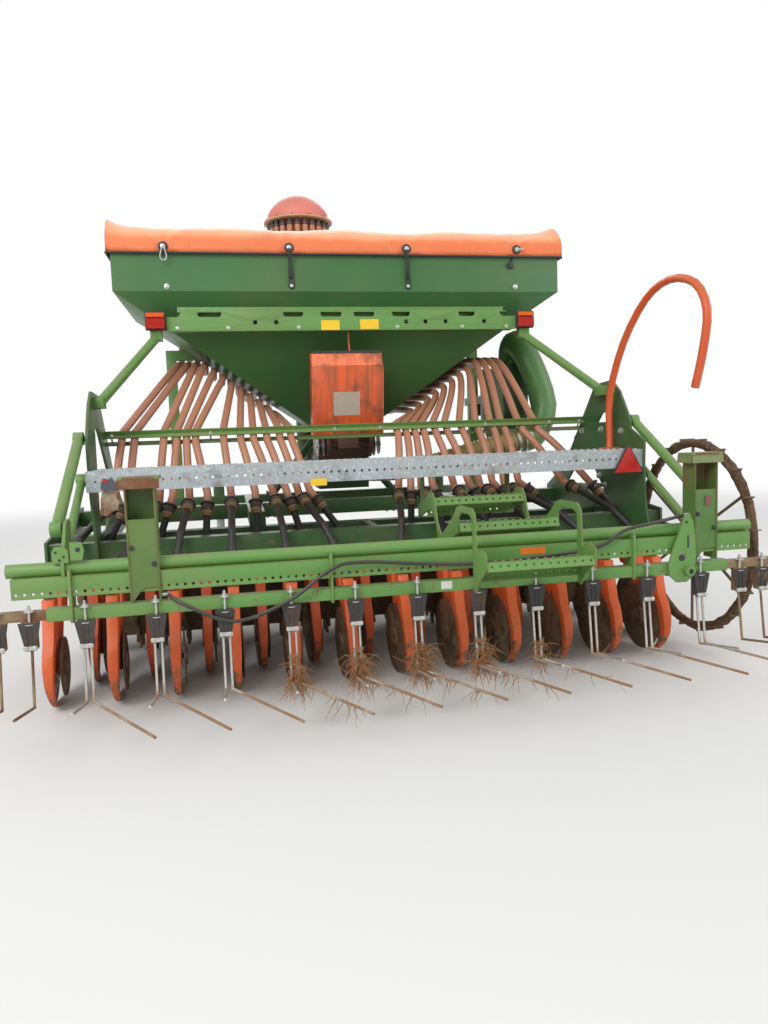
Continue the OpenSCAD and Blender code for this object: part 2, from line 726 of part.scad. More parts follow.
module ladder() {
  color(light_green) at_origin() {
    stringer(step_x);
    stringer(step_x + step_w - 6);
    tread(-985, 815);
    tread(-1362, 742);
    tread(-1678, 632);
  }
}

// The handrail's hoop, from its foot on the board up, back and down again
module handrail() {
  x = 1200;
  foot_y = -720;
  foot_z = board_z + seat_gap;
  color(orange) at_origin() {
    sweep(concat([[x, foot_y, foot_z + 4]], smooth([[x, foot_y, foot_z + 60],
      [x, -722, 1260], [x, -860, 1500], [x, -1060, 1668], [x, -1250, 1716], [x, -1430, 1668],
      [x, -1512, 1550], [x, -1490, 1400], [x, -1436, 1250]], 3)), rail_d, 12);
    translate([x - 40, foot_y - 40, foot_z]) cube([80, 80, 8]);
  }
}

module coulter(i) {
  x = disc_x(i);
  y = is_rear(i) ? rail_rear_y : rail_front_y;
  hy = disc_y(i);
  difference() {
    union() {
      plate_yz(x - arm_w / 2, arm_w) polygon([[y - 40, rail_z - beam / 2], [y + 40, rail_z - beam / 2],
        [y + 30, rail_z - 100], [y - 60, hub_z + 195], [y - 170, hub_z + 185],
        [y - 130, rail_z - 110]]);
      plate_yz(x - hub_w / 2, hub_w) {
        polygon([[y - 60, hub_z + 200], [y - 160, hub_z - 35], [y - 235, hub_z - 10],
          [y - 170, hub_z + 200]]);
        translate([hy, hub_z]) circle(d = 76, $fn = 32);
      }
    }
    translate([x, hy, hub_z]) rotate([0, 90, disc_yaw])
      cylinder(h = 3 * arm_w, d = spindle_d + 2 * run_gap, center = true, $fn = 32);
  }
  seed_body(x, hy);
}

// The cast body that runs down behind a disc and drops the seed, narrower below
module seed_body(x, hy) {
  inner = disc_d / 2 + 8;
  outer = inner + 42;
  intersection() {
    plate_yz(x - 24, 48) translate([hy, hub_z]) {
      polygon(concat([for (a = [118 : 8 : 238]) inner * [cos(a), sin(a)]],
        [for (a = [236 : -8 : 140]) (outer - max(0, a - 190) * 0.7) * [cos(a), sin(a)]],
        [[-110, boot_z - hub_z], [-38, boot_z - hub_z]]));
      polygon([[-38, 165], [-80, boot_z - hub_z - 60], [44, 196], [36, 172]]);
    }
    plate_xz(hy - 260, 360) polygon([[x - 24, boot_z + 1], [x + 24, boot_z + 1],
      [x + 21, hub_z + 40], [x + 9, 20], [x - 9, 20], [x - 21, hub_z + 40]]);
  }
}

module coulters_front() { color(orange) at_origin() for (i = [2 : 2 : rows]) coulter(i); }
module coulters_rear() { color(orange) at_origin() for (i = [1 : 2 : rows]) coulter(i); }

module coulter_disc(i) {
  face = hub_w / 2 + 14;
  color(rust) at_origin() translate([disc_x(i), disc_y(i), hub_z]) rotate([0, 0, disc_yaw]) {
    rotate([0, 90, 0]) cylinder(h = 2 * face + 20, d = spindle_d, center = true, $fn = 32);
    translate([-face - disc_t, 0, 0]) rotate([0, 90, 0]) cylinder(h = disc_t, d = disc_d, $fn = 64);
    translate([face, 0, 0]) rotate([0, 90, 0]) cylinder(h = 6, d = guide_d, $fn = 64);
    translate([-face - 12, 0, 0]) rotate([0, 90, 0]) cylinder(h = 12, d = 90, $fn = 48);
    translate([face, 0, 0]) rotate([0, 90, 0]) cylinder(h = 14, d = 80, $fn = 48);
  }
}

// One pair of parallel links from a pivot height
module links(z, tube_d) {
  a = [0, link_y, z];
  b = a + [0, link_dy, link_dz];
  u = unit(b - a);
  color(light_green) at_origin() both_sides() translate([link_x, 0, 0]) difference() {
    union() {
      rod(a + 20 * u, b - 20 * u, tube_d);
      for (p = [a, b]) translate(p) rotate([0, 90, 0])
        cylinder(h = link_w, d = 56, center = true, $fn = 48);
    }
    for (p = [a, b]) translate(p) rotate([0, 90, 0])
      cylinder(h = link_w + 20, d = link_pin_d + 2 * run_gap, center = true, $fn = 48);
  }
}
module harrow_upper_links() { links(link_upper_z, 44); }
module harrow_lower_links() { links(link_lower_z, 34); }

module harrow_frame() {
  yb = link_y + link_dy;
  color(light_green) at_origin() {
    translate([-1460, pipe_y, pipe_z]) rotate([0, 90, 0]) cylinder(h = 2920, d = pipe_d, $fn = 48);
    difference() {
      plate_xz(pipe_y - 45, 5) translate([-1440, pipe_z - 95]) square([2880, 72]);
      for (k = [-50 : 50]) translate([28.5 * k, pipe_y - 46, pipe_z - 78]) rotate([-90, 0, 0])
        cylinder(h = 7, d = 10, $fn = 16);
    }
    box(-1440, 1440, pipe_y - 41, pipe_y + 5, pipe_z - 28, pipe_z - 23);
    difference() {
      union() {
        for (x = [-1250, -330, 900, 1120])
          box(x, x + 10, bar_y - tine_bar / 2 - 8, pipe_y + 12, bar_z - tine_bar / 2 - 8, pipe_z);
        box(-bar_half, bar_half, bar_y - tine_bar / 2, bar_y + tine_bar / 2,
          bar_z - tine_bar / 2, bar_z + tine_bar / 2);
      }
      for (side = [-1, 1]) translate([side * (bar_half - 130), bar_y, bar_z])
        cube([262, ext_bar + 1, ext_bar + 1], center = true);
    }
    both_sides() {
      plate_yz(side_x, plate_t) polygon([[yb + 30, link_upper_z + link_dz + 20],
        [yb + 10, link_upper_z + link_dz + 35], [yb - 40, link_upper_z + link_dz + 30],
        [pipe_y - 35, pipe_z + 30], [pipe_y - 35, pipe_z - 30],
        [yb - 30, link_lower_z + link_dz - 35], [yb + 30, link_lower_z + link_dz - 25]]);
      for (z = [link_upper_z, link_lower_z])
        translate([side_x + plate_t, yb, z + link_dz]) rotate([0, 90, 0])
          cylinder(h = link_w + 16, d = link_pin_d, $fn = 32);
    }
    for (x = [-1045, 1175]) harrow_post(x);
  }
}

// A post for the step board: a channel, closed below, with a notch at its foot
module harrow_post(x) {
  w = 105;
  low = pipe_z - 125;
  top = 975;
  back = pipe_y + 30;
  front = pipe_y - 56;
  for (s = [0, w - 6]) box(x + s, x + s + 6, front, back, low, top);
  box(x, x + w, back - 6, back, pipe_z - 10, top);
  plate_xz(front + 3, 6) translate([x, low])
    polygon([[1, 0], [12, 0], [42, 40], [58, 46], [w - 1, 46], [w - 1, 290], [1, 290]]);
  box(x - 18, x + w + 18, front - 6, back + 6, top, top + 10);
}

// A holder on a square bar with the wires below it: their places and legs
module tine_holder(x, side_of_bar, wires) {
  y = bar_y - side_of_bar / 2;
  top = bar_z - side_of_bar / 2;
  box(x - 28, x + 28, y - 16, y + side_of_bar + 4, top - 6, top);
  box(x - 22, x + 22, y - 16, y + 16, top - 95, top - 6);
  for (wire = wires) {
    bend = [x + wire[0], tine_y - tine_back, tine_bend_z];
    bent_rod([[x + wire[0], y, top - 90], bend, bend + wire[1]], tine_d);
  }
}

module harrow_tines() {
  color([0.35, 0.34, 0.33]) at_origin() for (k = [-5 : 5])
    tine_holder(k * tine_pitch, tine_bar, [[-12, leg_straight], [12, leg_wide]]);
}

module extension(side) {
  color([0.50, 0.42, 0.30]) at_origin() {
    x0 = side * (bar_half - 200);
    x1 = side * ext_end;
    box(min(x0, x1), max(x0, x1), bar_y - ext_bar / 2, bar_y + ext_bar / 2,
      bar_z - ext_bar / 2, bar_z + ext_bar / 2);
    for (x = [55, 160]) tine_holder(side * (bar_half + x), ext_bar, [[0, leg_straight]]);
  }
}
module extension_left() { extension(-1); }
module extension_right() { extension(1); }

module spur_arm() {
  x = arm_x + plate_t + 8;
  color(green) at_origin() {
    difference() {
      plate_yz(x, 14) {
        polygon([[spur_pivot_y, spur_pivot_z + 35], [spur_pivot_y, spur_pivot_z - 35],
          [spur_y, spur_z - 28], [spur_y, spur_z + 28]]);
        translate([spur_pivot_y, spur_pivot_z]) circle(d = 76, $fn = 32);
        translate([spur_y, spur_z]) circle(d = 60, $fn = 32);
      }
      translate([x - 5, spur_pivot_y, spur_pivot_z]) rotate([0, 90, 0])
        cylinder(h = 30, d = spur_axle_d + 2 * run_gap, $fn = 32);
    }
    translate([x, spur_y, spur_z]) rotate([0, 90, 0])
      cylinder(h = 92, d = spur_axle_d, $fn = 32);
  }
}

module spur_wheel() {
  r = spur_d / 2;
  color(rust) at_origin() translate([spur_x, spur_y, spur_z]) {
    difference() {
      union() {
        difference() {
          rotate([0, 90, 0]) cylinder(h = 36, d = spur_d - 30, center = true, $fn = 96);
          rotate([0, 90, 0]) cylinder(h = 40, d = spur_d - 54, center = true, $fn = 96);
        }
        rotate([0, 90, 0]) cylinder(h = 56, d = 80, center = true, $fn = 48);
        for (k = [0 : 5]) rotate([60 * k, 0, 0]) cylinder(h = r - 20, d = 14, $fn = 24);
        for (k = [0 : 19]) rotate([18 * k + 9, 0, 0])
          translate([-25, -3, r - 20]) cube([50, 6, 20]);
      }
      rotate([0, 90, 0]) cylinder(h = 80, d = spur_axle_d + 2 * run_gap, center = true, $fn = 48);
    }
  }
}

// A hose that hangs from the left post and lies along the harrow's pipe
line_start = [-939.7, pipe_y - 30, pipe_z - 112];
line_end = [1174.7, pipe_y - 20, pipe_z + 60];
line_route = concat([line_start], smooth([line_start + [20, 0, 0], [-860, -1500, 525],
  [-687, -1503, 450], [-486, -1503, 512], [-334, -1503, 613], [-202, -1490, 632],
  [205, -1484, 597], [701, -1484, 621], [860, -1484, 688], [990, -1480, 710],
  line_end - [20, 0, 0]], 3), [line_end]);

module hydraulic_lines() { color(black) at_origin() sweep_across(line_route, 14, 8); }

main_frame();
headstock();
scrapers();
packer_roller();
leg_left();
leg_right();
hopper_frame();
hopper();
tarp();
tail_lamps();
calibration_tray();
metering_unit();
riser_pipe();
distributor_head();
seed_hoses();
seed_tubes();
hose_rails();
fan_housing();
fan_impeller();
fan_duct();
air_hose();
gearbox();
loading_board();
ladder();
handrail();
coulters_front();
coulters_rear();
harrow_upper_links();
harrow_lower_links();
harrow_frame();
harrow_tines();
extension_left();
extension_right();
spur_arm();
spur_wheel();
hydraulic_lines();
coulter_disc(1);  // disc_01
coulter_disc(2);  // disc_02
coulter_disc(3);  // disc_03
coulter_disc(4);  // disc_04
coulter_disc(5);  // disc_05
coulter_disc(6);  // disc_06
coulter_disc(7);  // disc_07
coulter_disc(8);  // disc_08
coulter_disc(9);  // disc_09
coulter_disc(10);  // disc_10
coulter_disc(11);  // disc_11
coulter_disc(12);  // disc_12
coulter_disc(13);  // disc_13
coulter_disc(14);  // disc_14
coulter_disc(15);  // disc_15
coulter_disc(16);  // disc_16
coulter_disc(17);  // disc_17
coulter_disc(18);  // disc_18
coulter_disc(19);  // disc_19
coulter_disc(20);  // disc_20
coulter_disc(21);  // disc_21
coulter_disc(22);  // disc_22
coulter_disc(23);  // disc_23
coulter_disc(24);  // disc_24
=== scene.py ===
import random
from math import atan2, copysign, cos, exp, hypot, pi, radians, sin, sqrt

import bmesh
import bpy
from mathutils import Matrix, Vector, noise


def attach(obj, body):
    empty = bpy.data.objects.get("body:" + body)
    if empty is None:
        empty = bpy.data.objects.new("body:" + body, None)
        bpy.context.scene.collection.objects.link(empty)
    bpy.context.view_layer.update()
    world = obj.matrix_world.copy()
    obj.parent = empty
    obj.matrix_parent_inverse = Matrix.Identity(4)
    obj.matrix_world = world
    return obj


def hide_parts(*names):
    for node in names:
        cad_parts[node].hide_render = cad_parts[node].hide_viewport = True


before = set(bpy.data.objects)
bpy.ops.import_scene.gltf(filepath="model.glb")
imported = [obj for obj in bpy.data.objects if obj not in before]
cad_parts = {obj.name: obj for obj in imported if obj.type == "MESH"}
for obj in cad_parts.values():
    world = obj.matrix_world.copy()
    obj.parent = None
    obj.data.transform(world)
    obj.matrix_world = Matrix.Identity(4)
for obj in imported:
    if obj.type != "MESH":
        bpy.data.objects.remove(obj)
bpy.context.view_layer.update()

# Studio
# The drill stands on a plain pale floor in soft light, seen from behind and
# a little left of its middle, from the height of the harrow's posts.
CAMERA_AT = Vector((-0.68, -4.095, 1.102))
CAMERA_YAW, CAMERA_PITCH, CAMERA_ROLL = radians(11.32), radians(5.75), radians(-2.0)
FOCAL_PIXELS, IMAGE_PIXELS, SENSOR_HEIGHT = 767.4, 1024, 24
LAMP_SIZE = 4.0
LAMPS = (("key_lamp", (-4.5, -6.0, 5.5), 1.0, 420), ("fill_lamp", (6.0, -3.5, 3.5), 1.0, 130),
         ("back_lamp", (1.0, 6.5, 5.0), 1.2, 200))
WHITE, SKY, SKY_STRENGTH = (1, 1, 1, 1), (0.95, 0.97, 1.0, 1), 0.62
FLOOR_RADIUS, FLOOR_COLOUR = 30.0, (0.80, 0.79, 0.77, 1)
FLOOR_FADE_FROM, FLOOR_FADE_TO = 5.0, 12.0


def place(name, data):
    """A new object in the scene."""
    made = bpy.data.objects.new(name, data)
    bpy.context.scene.collection.objects.link(made)
    return made


ahead = Vector((sin(CAMERA_YAW) * cos(CAMERA_PITCH), cos(CAMERA_YAW) * cos(CAMERA_PITCH),
                -sin(CAMERA_PITCH)))
level = Vector((cos(CAMERA_YAW), -sin(CAMERA_YAW), 0))
above = level.cross(ahead)
right = level * cos(CAMERA_ROLL) + above * sin(CAMERA_ROLL)
up = above * cos(CAMERA_ROLL) - level * sin(CAMERA_ROLL)
lens = bpy.data.cameras.new("camera")
lens.sensor_fit = "VERTICAL"
lens.sensor_height = SENSOR_HEIGHT
lens.lens = FOCAL_PIXELS / IMAGE_PIXELS * SENSOR_HEIGHT
camera = place("camera", lens)
turn = Matrix((right, up, -ahead)).transposed()
camera.matrix_world = Matrix.Translation(CAMERA_AT) @ turn.to_4x4()
bpy.context.scene.camera = camera
bpy.context.scene.view_settings.view_transform = "Standard"

for name, spot, aim_height, power in LAMPS:
    softbox = bpy.data.lights.new(name, "AREA")
    softbox.size, softbox.energy = LAMP_SIZE, power
    lamp = place(name, softbox)
    lamp.location = spot
    towards = Vector((0, 0, aim_height)) - Vector(spot)
    lamp.rotation_euler = towards.to_track_quat("-Z", "Y").to_euler()


def add(tree, kind, feeds=None, **settings):
    """A shader node with its settings and what feeds its inputs, a value or a socket."""
    node = tree.nodes.new("ShaderNode" + kind)
    for key, value in settings.items():
        setattr(node, key, value)
    for key, feed in (feeds or {}).items():
        if isinstance(feed, bpy.types.NodeSocket):
            tree.links.new(feed, node.inputs[key])
        else:
            node.inputs[key].default_value = feed
    return node


def calc(tree, operation, a, b, clamp=False):
    """The result of an operation on two values."""
    return add(tree, "Math", {0: a, 1: b}, operation=operation, use_clamp=clamp).outputs[0]


def larger(tree, a, b):
    """The larger of two values."""
    return calc(tree, "MAXIMUM", a, b)


def times(tree, a, b, clamp=False):
    """The product of two values."""
    return calc(tree, "MULTIPLY", a, b, clamp)


def ramped(tree, value, low, high, to_low=0.0, to_high=1.0):
    """The value spread from low..high over to_low..to_high, with soft ends."""
    return add(tree, "MapRange", {"Value": value, "From Min": low, "From Max": high,
                                  "To Min": to_low, "To Max": to_high},
               interpolation_type="SMOOTHSTEP").outputs[0]


def spot_of(tree):
    """The place on the surface, in metres of the piece's own frame."""
    return add(tree, "TexCoord").outputs["Object"]


def begin(name):
    """An empty material and its tree."""
    material = bpy.data.materials.new(name)
    material.use_nodes = True
    material.node_tree.nodes.clear()
    return material, material.node_tree


world = bpy.data.worlds.new("world")
bpy.context.scene.world = world
world.use_nodes = True
tree = world.node_tree
tree.nodes.clear()
ray = add(tree, "LightPath").outputs
seen = larger(tree, ray["Is Camera Ray"], ray["Is Glossy Ray"])
seen = larger(tree, seen, ray["Is Transmission Ray"])
sky = add(tree, "Background", {"Color": SKY, "Strength": SKY_STRENGTH})
white = add(tree, "Background", {"Color": WHITE})
mixed = add(tree, "MixShader", {0: seen, 1: sky.outputs[0], 2: white.outputs[0]})
add(tree, "OutputWorld", {"Surface": mixed.outputs[0]})

floor_mesh = bpy.data.meshes.new("floor")
bm = bmesh.new()
bmesh.ops.create_circle(bm, cap_ends=True, radius=FLOOR_RADIUS, segments=96)
bm.to_mesh(floor_mesh)
bm.free()
floor = place("floor", floor_mesh)
paving, tree = begin("pale_floor")
far = add(tree, "VectorMath", {0: spot_of(tree)}, operation="LENGTH")
fade = ramped(tree, far.outputs["Value"], FLOOR_FADE_FROM, FLOOR_FADE_TO)
fade = times(tree, fade, add(tree, "LightPath").outputs["Is Camera Ray"])
matt = add(tree, "BsdfDiffuse", {"Color": FLOOR_COLOUR})
bright = add(tree, "Emission", {"Color": WHITE})
mixed = add(tree, "MixShader", {0: fade, 1: matt.outputs[0], 2: bright.outputs[0]})
add(tree, "OutputMaterial", {"Surface": mixed.outputs[0]})
floor_mesh.materials.append(paving)

# Main frame
# Square tubes and flat side plates welded together and sprayed dark green. The
# paint is chipped along the edges, dusty on top and splashed with earth below.
EARTH, EARTH_PALE, RUST = (98, 76, 55), (150, 128, 98), (112, 66, 38)
GREEN = (46, 92, 48)
MUD_LINE = 0.75
BEVEL_ANGLE, SMOOTH_ANGLE = radians(38), radians(32)


def colour(rgb, lightness=1.0):
    """A linear colour from three screen values of 0 to 255."""
    return tuple(((c / 255 + 0.055) / 1.055) ** 2.4 * lightness if c > 10 else
                 c / 255 / 12.92 * lightness for c in rgb) + (1,)


def effect(name, inputs, outputs):
    """A new shader node group, with the sockets that lead into and out of it."""
    group = bpy.data.node_groups.new(name, "ShaderNodeTree")
    for label, value in inputs.items():
        socket = group.interface.new_socket(label, in_out="INPUT", socket_type="NodeSocketFloat")
        socket.default_value = value
    for label in outputs:
        group.interface.new_socket(label, in_out="OUTPUT", socket_type="NodeSocketFloat")
    entry = group.nodes.new("NodeGroupInput").outputs
    return group, entry, group.nodes.new("NodeGroupOutput").inputs


def blended(tree, mask, low, high):
    """The colour low, and high where the mask is 1."""
    return add(tree, "Mix", {"Factor": mask, 6: low, 7: high}, data_type="RGBA").outputs[2]


def plus(tree, a, b, clamp=False):
    """The sum of two values."""
    return calc(tree, "ADD", a, b, clamp)


def axis_of(tree, vector, axis):
    """One axis of a vector."""
    return add(tree, "SeparateXYZ", {0: vector}).outputs[axis]


def grain(tree, scale, detail=4.0, where=None, roughness=0.55):
    """Noise of that many waves a metre over the surface."""
    return add(tree, "TexNoise", {"Vector": where or spot_of(tree), "Scale": scale,
                                  "Detail": detail, "Roughness": roughness}).outputs["Fac"]


def mottled(tree, scale, detail, rgb, dark, pale):
    """A tone that varies in patches from dark to pale."""
    return blended(tree, grain(tree, scale, detail), colour(rgb, dark), colour(rgb, pale))


chipped, entry, leave = effect("chipped_edges", {"Width": 0.004, "Amount": 0.5}, ["Mask"])
rounded = add(chipped, "Bevel", {"Radius": entry["Width"]}, samples=4)
flat = add(chipped, "NewGeometry")
agree = add(chipped, "VectorMath", {0: rounded.outputs[0], 1: flat.outputs["Normal"]},
            operation="DOT_PRODUCT")
edge = ramped(chipped, agree.outputs["Value"], 0.995, 0.90)
patchy = ramped(chipped, plus(chipped, grain(chipped, 24, 6), entry["Amount"]), 0.92, 1.04)
chipped.links.new(times(chipped, edge, patchy), leave["Mask"])

dusty, entry, leave = effect("settled_dust", {"Amount": 0.5}, ["Mask"])
facing = axis_of(dusty, add(dusty, "NewGeometry").outputs["Normal"], "Z")
top = ramped(dusty, facing, 0.15, 0.95)
patchy = ramped(dusty, grain(dusty, 7, 6), 0.30, 0.75, 0.25, 1.0)
everywhere = ramped(dusty, grain(dusty, 2.5, 5), 0.35, 0.8, 0.05, 0.5)
mask = times(dusty, larger(dusty, times(dusty, top, patchy), everywhere), entry["Amount"], True)
dusty.links.new(mask, leave["Mask"])

muddy, entry, leave = effect("earth_splashes", {"Line": MUD_LINE, "Amount": 0.5},
                             ["Mask", "Height"])
low = calc(muddy, "SUBTRACT", entry["Line"], axis_of(muddy, spot_of(muddy), "Z"))
low = ramped(muddy, low, -0.25, 0.55)
lumps = grain(muddy, 19, 8, roughness=0.65)
mask = ramped(muddy, plus(muddy, times(muddy, low, entry["Amount"]), lumps), 0.80, 0.98)
muddy.links.new(mask, leave["Mask"])
muddy.links.new(times(muddy, mask, grain(muddy, 70, 6)), leave["Height"])


def use(tree, group, feeds):
    """The outputs of a node that holds the group."""
    node = tree.nodes.new("ShaderNodeGroup")
    node.node_tree = group
    for key, value in feeds.items():
        node.inputs[key].default_value = value
    return node.outputs


def weathered(tree, tone, wear, dust, mud, mud_line, under=RUST):
    """The tone of a coat with chips, dust and earth on it, and the masks of chips and earth."""
    chips = use(tree, chipped, {"Amount": wear})["Mask"]
    earth = use(tree, muddy, {"Amount": mud, "Line": mud_line})
    tone = blended(tree, chips, tone, colour(under))
    tone = blended(tree, use(tree, dusty, {"Amount": dust})["Mask"], tone, colour(EARTH_PALE))
    soil = blended(tree, grain(tree, 9), colour(EARTH, 0.75), colour(EARTH_PALE, 0.8))
    return blended(tree, earth["Mask"], tone, soil), chips, earth


def uneven(tree, scale, spread, lowest, covered, matt):
    """Roughness that varies over the surface, and is matt where something covers it."""
    varied = plus(tree, times(tree, grain(tree, scale), spread), lowest)
    return larger(tree, times(tree, covered, matt), varied)


def surfaced(material, tone, rough, height, depth=0.004, **more):
    """The material, closed with a Principled shader that a height bumps."""
    tree = material.node_tree
    bump = add(tree, "Bump", {"Height": height, "Distance": depth})
    surface = add(tree, "BsdfPrincipled", {"Base Color": tone, "Roughness": rough,
                                           "Normal": bump.outputs[0], **more})
    add(tree, "OutputMaterial", {"Surface": surface.outputs[0]})
    return material


def paint(name, rgb, roughness=0.42, wear=0.45, dust=0.45, mud=0.5, mud_line=MUD_LINE, parts=None):
    """Sprayed paint on steel; parts adds other tones to some places."""
    material, tree = begin(name)
    tone = mottled(tree, 2.2, 6, rgb, 0.80, 1.12)
    tone = parts(tree, tone) if parts else tone
    tone, chips, earth = weathered(tree, tone, wear, dust, mud, mud_line)
    rough = uneven(tree, 30, 0.16, roughness - 0.08, larger(tree, chips, earth["Mask"]), 0.85)
    peel = plus(tree, times(tree, grain(tree, 160, 2), 0.06), earth["Height"])
    return surfaced(material, tone, rough, peel)


shading = bpy.data.node_groups.new("soft_shading", "GeometryNodeTree")
shading.interface.new_socket("Geometry", in_out="INPUT", socket_type="NodeSocketGeometry")
shading.interface.new_socket("Geometry", in_out="OUTPUT", socket_type="NodeSocketGeometry")
entry = shading.nodes.new("NodeGroupInput").outputs[0]
for domain in ("FACE", "EDGE"):
    soft = shading.nodes.new("GeometryNodeSetShadeSmooth")
    soft.domain = domain
    soft.inputs["Shade Smooth"].default_value = domain == "FACE"
    shading.links.new(entry, soft.inputs["Geometry"])
    entry = soft.outputs[0]
turns = shading.nodes.new("GeometryNodeInputMeshEdgeAngle")
sharp = shading.nodes.new("FunctionNodeCompare")
sharp.operation = "GREATER_THAN"
sharp.inputs[1].default_value = SMOOTH_ANGLE
shading.links.new(turns.outputs[0], sharp.inputs[0])
shading.links.new(sharp.outputs[0], soft.inputs["Selection"])
shading.links.new(entry, shading.nodes.new("NodeGroupOutput").inputs[0])


def break_edges(thing, width):
    """Rounds the sharp edges of an object."""
    broken = thing.modifiers.new("broken_edges", "BEVEL")
    broken.width, broken.segments = width, 2
    broken.limit_method, broken.angle_limit = "ANGLE", BEVEL_ANGLE


def dress(material, *nodes, bevel=0.0015):
    """Gives CAD nodes their material, breaks their sharp edges and shades curves smoothly."""
    for node in nodes:
        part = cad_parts[node]
        part.data.materials.clear()
        part.data.materials.append(material)
        part.modifiers.new("joined", "WELD").merge_threshold = 0.00001
        if bevel:
            break_edges(part, bevel)
        part.modifiers.new("soft_shading", "NODES").node_group = shading


frame_green = paint("frame_green", GREEN)
dress(frame_green, "main_frame", "headstock", "scrapers", "spur_arm")


# Packer roller
# A steel drum with toothed rings, which presses the rows. Earth packs between
# the rings, and the teeth are worn bright.
def steel(name, rgb, roughness=0.5, metallic=0.75, dust=0.3, mud=0.55, mud_line=MUD_LINE,
          rust=0.5, fine=26):
    """Bare or plated steel under rust, dust and earth."""
    material, tree = begin(name)
    tone = mottled(tree, fine, 3, rgb, 0.82, 1.12)
    rusty = ramped(tree, plus(tree, grain(tree, 6, 8), rust), 0.90, 1.12)
    tone = blended(tree, rusty, tone, mottled(tree, 60, 4, RUST, 0.7, 1.2))
    tone, _, earth = weathered(tree, tone, 0.2, dust, mud, mud_line, under=rgb)
    covered = larger(tree, rusty, earth["Mask"])
    rough = uneven(tree, 40, 0.25, roughness - 0.12, covered, 0.88)
    bare = times(tree, calc(tree, "SUBTRACT", 1.0, covered), metallic)
    flakes = plus(tree, times(tree, rusty, grain(tree, 120, 3)), earth["Height"])
    return surfaced(material, tone, rough, flakes, Metallic=bare)


soiled_steel = steel("soiled_steel", (92, 70, 56), rust=0.62, mud=0.75, mud_line=1.6)
dress(soiled_steel, "packer_roller")

# Coulters
# Each row has a cast arm painted orange on a rail, a steel cutting disc with a
# plastic guide disc beside it, and a black boot that drops the seed.
ORANGE = (222, 92, 34)
ROWS = 24
coulter_orange = paint("coulter_orange", ORANGE, roughness=0.5, wear=0.6, mud_line=0.36)
dress(coulter_orange, "coulters_front", "coulters_rear")
disc_steel = steel("disc_steel", (120, 104, 88), roughness=0.42, mud=0.42, mud_line=0.6)
dress(disc_steel, *[f"disc_{row:02d}" for row in range(1, ROWS + 1)], bevel=0)


def moulded(name, rgb, roughness=0.5, dust=0.3, mud=0.5, mud_line=MUD_LINE, tint=0.2, scale=4):
    """Rubber or plastic, sun-bleached in patches, with dust and earth on it."""
    material, tree = begin(name)
    tone = mottled(tree, scale, 5, rgb, 1 - tint, 1 + tint)
    tone, _, earth = weathered(tree, tone, 0.0, dust, mud, mud_line, under=rgb)
    rough = uneven(tree, 50, 0.15, roughness - 0.07, earth["Mask"], 0.9)
    return surfaced(material, tone, rough, earth["Height"])


# Hopper and its frame
# Sheet steel folded to a band over a funnel, on a lighter green frame of plates
# and posts bolted to the beams.
LIGHT_GREEN, HOPPER_GREEN, SHADED_GREEN = (94, 144, 70), (62, 112, 62), (36, 76, 36)
FRAME_COAT = dict(roughness=0.5, wear=0.58, dust=0.5, mud=0.38)
POSTS_X, POST_WIDE, POST_FACE_Y = (-1.045, 1.175), 0.106, -1.2795
POST_FOOT_Z, PIPE_TOP_Z = 0.54, 0.71
light_green = paint("light_green", LIGHT_GREEN, **FRAME_COAT)
dress(light_green, "hopper_frame", "ladder", "harrow_upper_links", "harrow_lower_links")


def mossy_posts(tree, tone):
    """Darker moss green and stains where the two posts stand on the harrow's pipe."""
    where = add(tree, "SeparateXYZ", {0: spot_of(tree)}).outputs
    beside = [times(tree, calc(tree, "GREATER_THAN", where["X"], x - 0.001),
                    calc(tree, "LESS_THAN", where["X"], x + POST_WIDE)) for x in POSTS_X]
    beyond = larger(tree, calc(tree, "LESS_THAN", where["Y"], POST_FACE_Y),
                    calc(tree, "GREATER_THAN", where["Z"], PIPE_TOP_Z))
    beyond = times(tree, beyond, calc(tree, "GREATER_THAN", where["Z"], POST_FOOT_Z))
    on_post = times(tree, plus(tree, *beside, True), beyond)
    moss = blended(tree, grain(tree, 5, 7), colour((58, 98, 38)), colour((88, 126, 56)))
    stained = ramped(tree, plus(tree, times(tree, where["Z"], 0.9),
                                times(tree, grain(tree, 7, 6), 0.5)), 1.0, 1.16)
    moss = blended(tree, stained, moss, colour((108, 78, 52)))
    return blended(tree, on_post, tone, moss)


dress(paint("harrow_green", LIGHT_GREEN, parts=mossy_posts, **FRAME_COAT), "harrow_frame")
dress(paint("hopper_green", HOPPER_GREEN, roughness=0.38, wear=0.3, dust=0.35, mud=0.2), "hopper")
dress(paint("dark_green", SHADED_GREEN, roughness=0.4, wear=0.35, dust=0.4),
      "riser_pipe", "fan_housing", "gearbox")

# Metering unit and handrail
# A dusty housing under the funnel, and a bent tube painted orange beside the board.
dress(paint("rail_orange", (214, 88, 36), roughness=0.45, wear=0.5, dust=0.35, mud=0.25),
      "handrail")
dress(paint("metering_red", (120, 88, 80), dust=0.8, wear=0.6), "metering_unit")


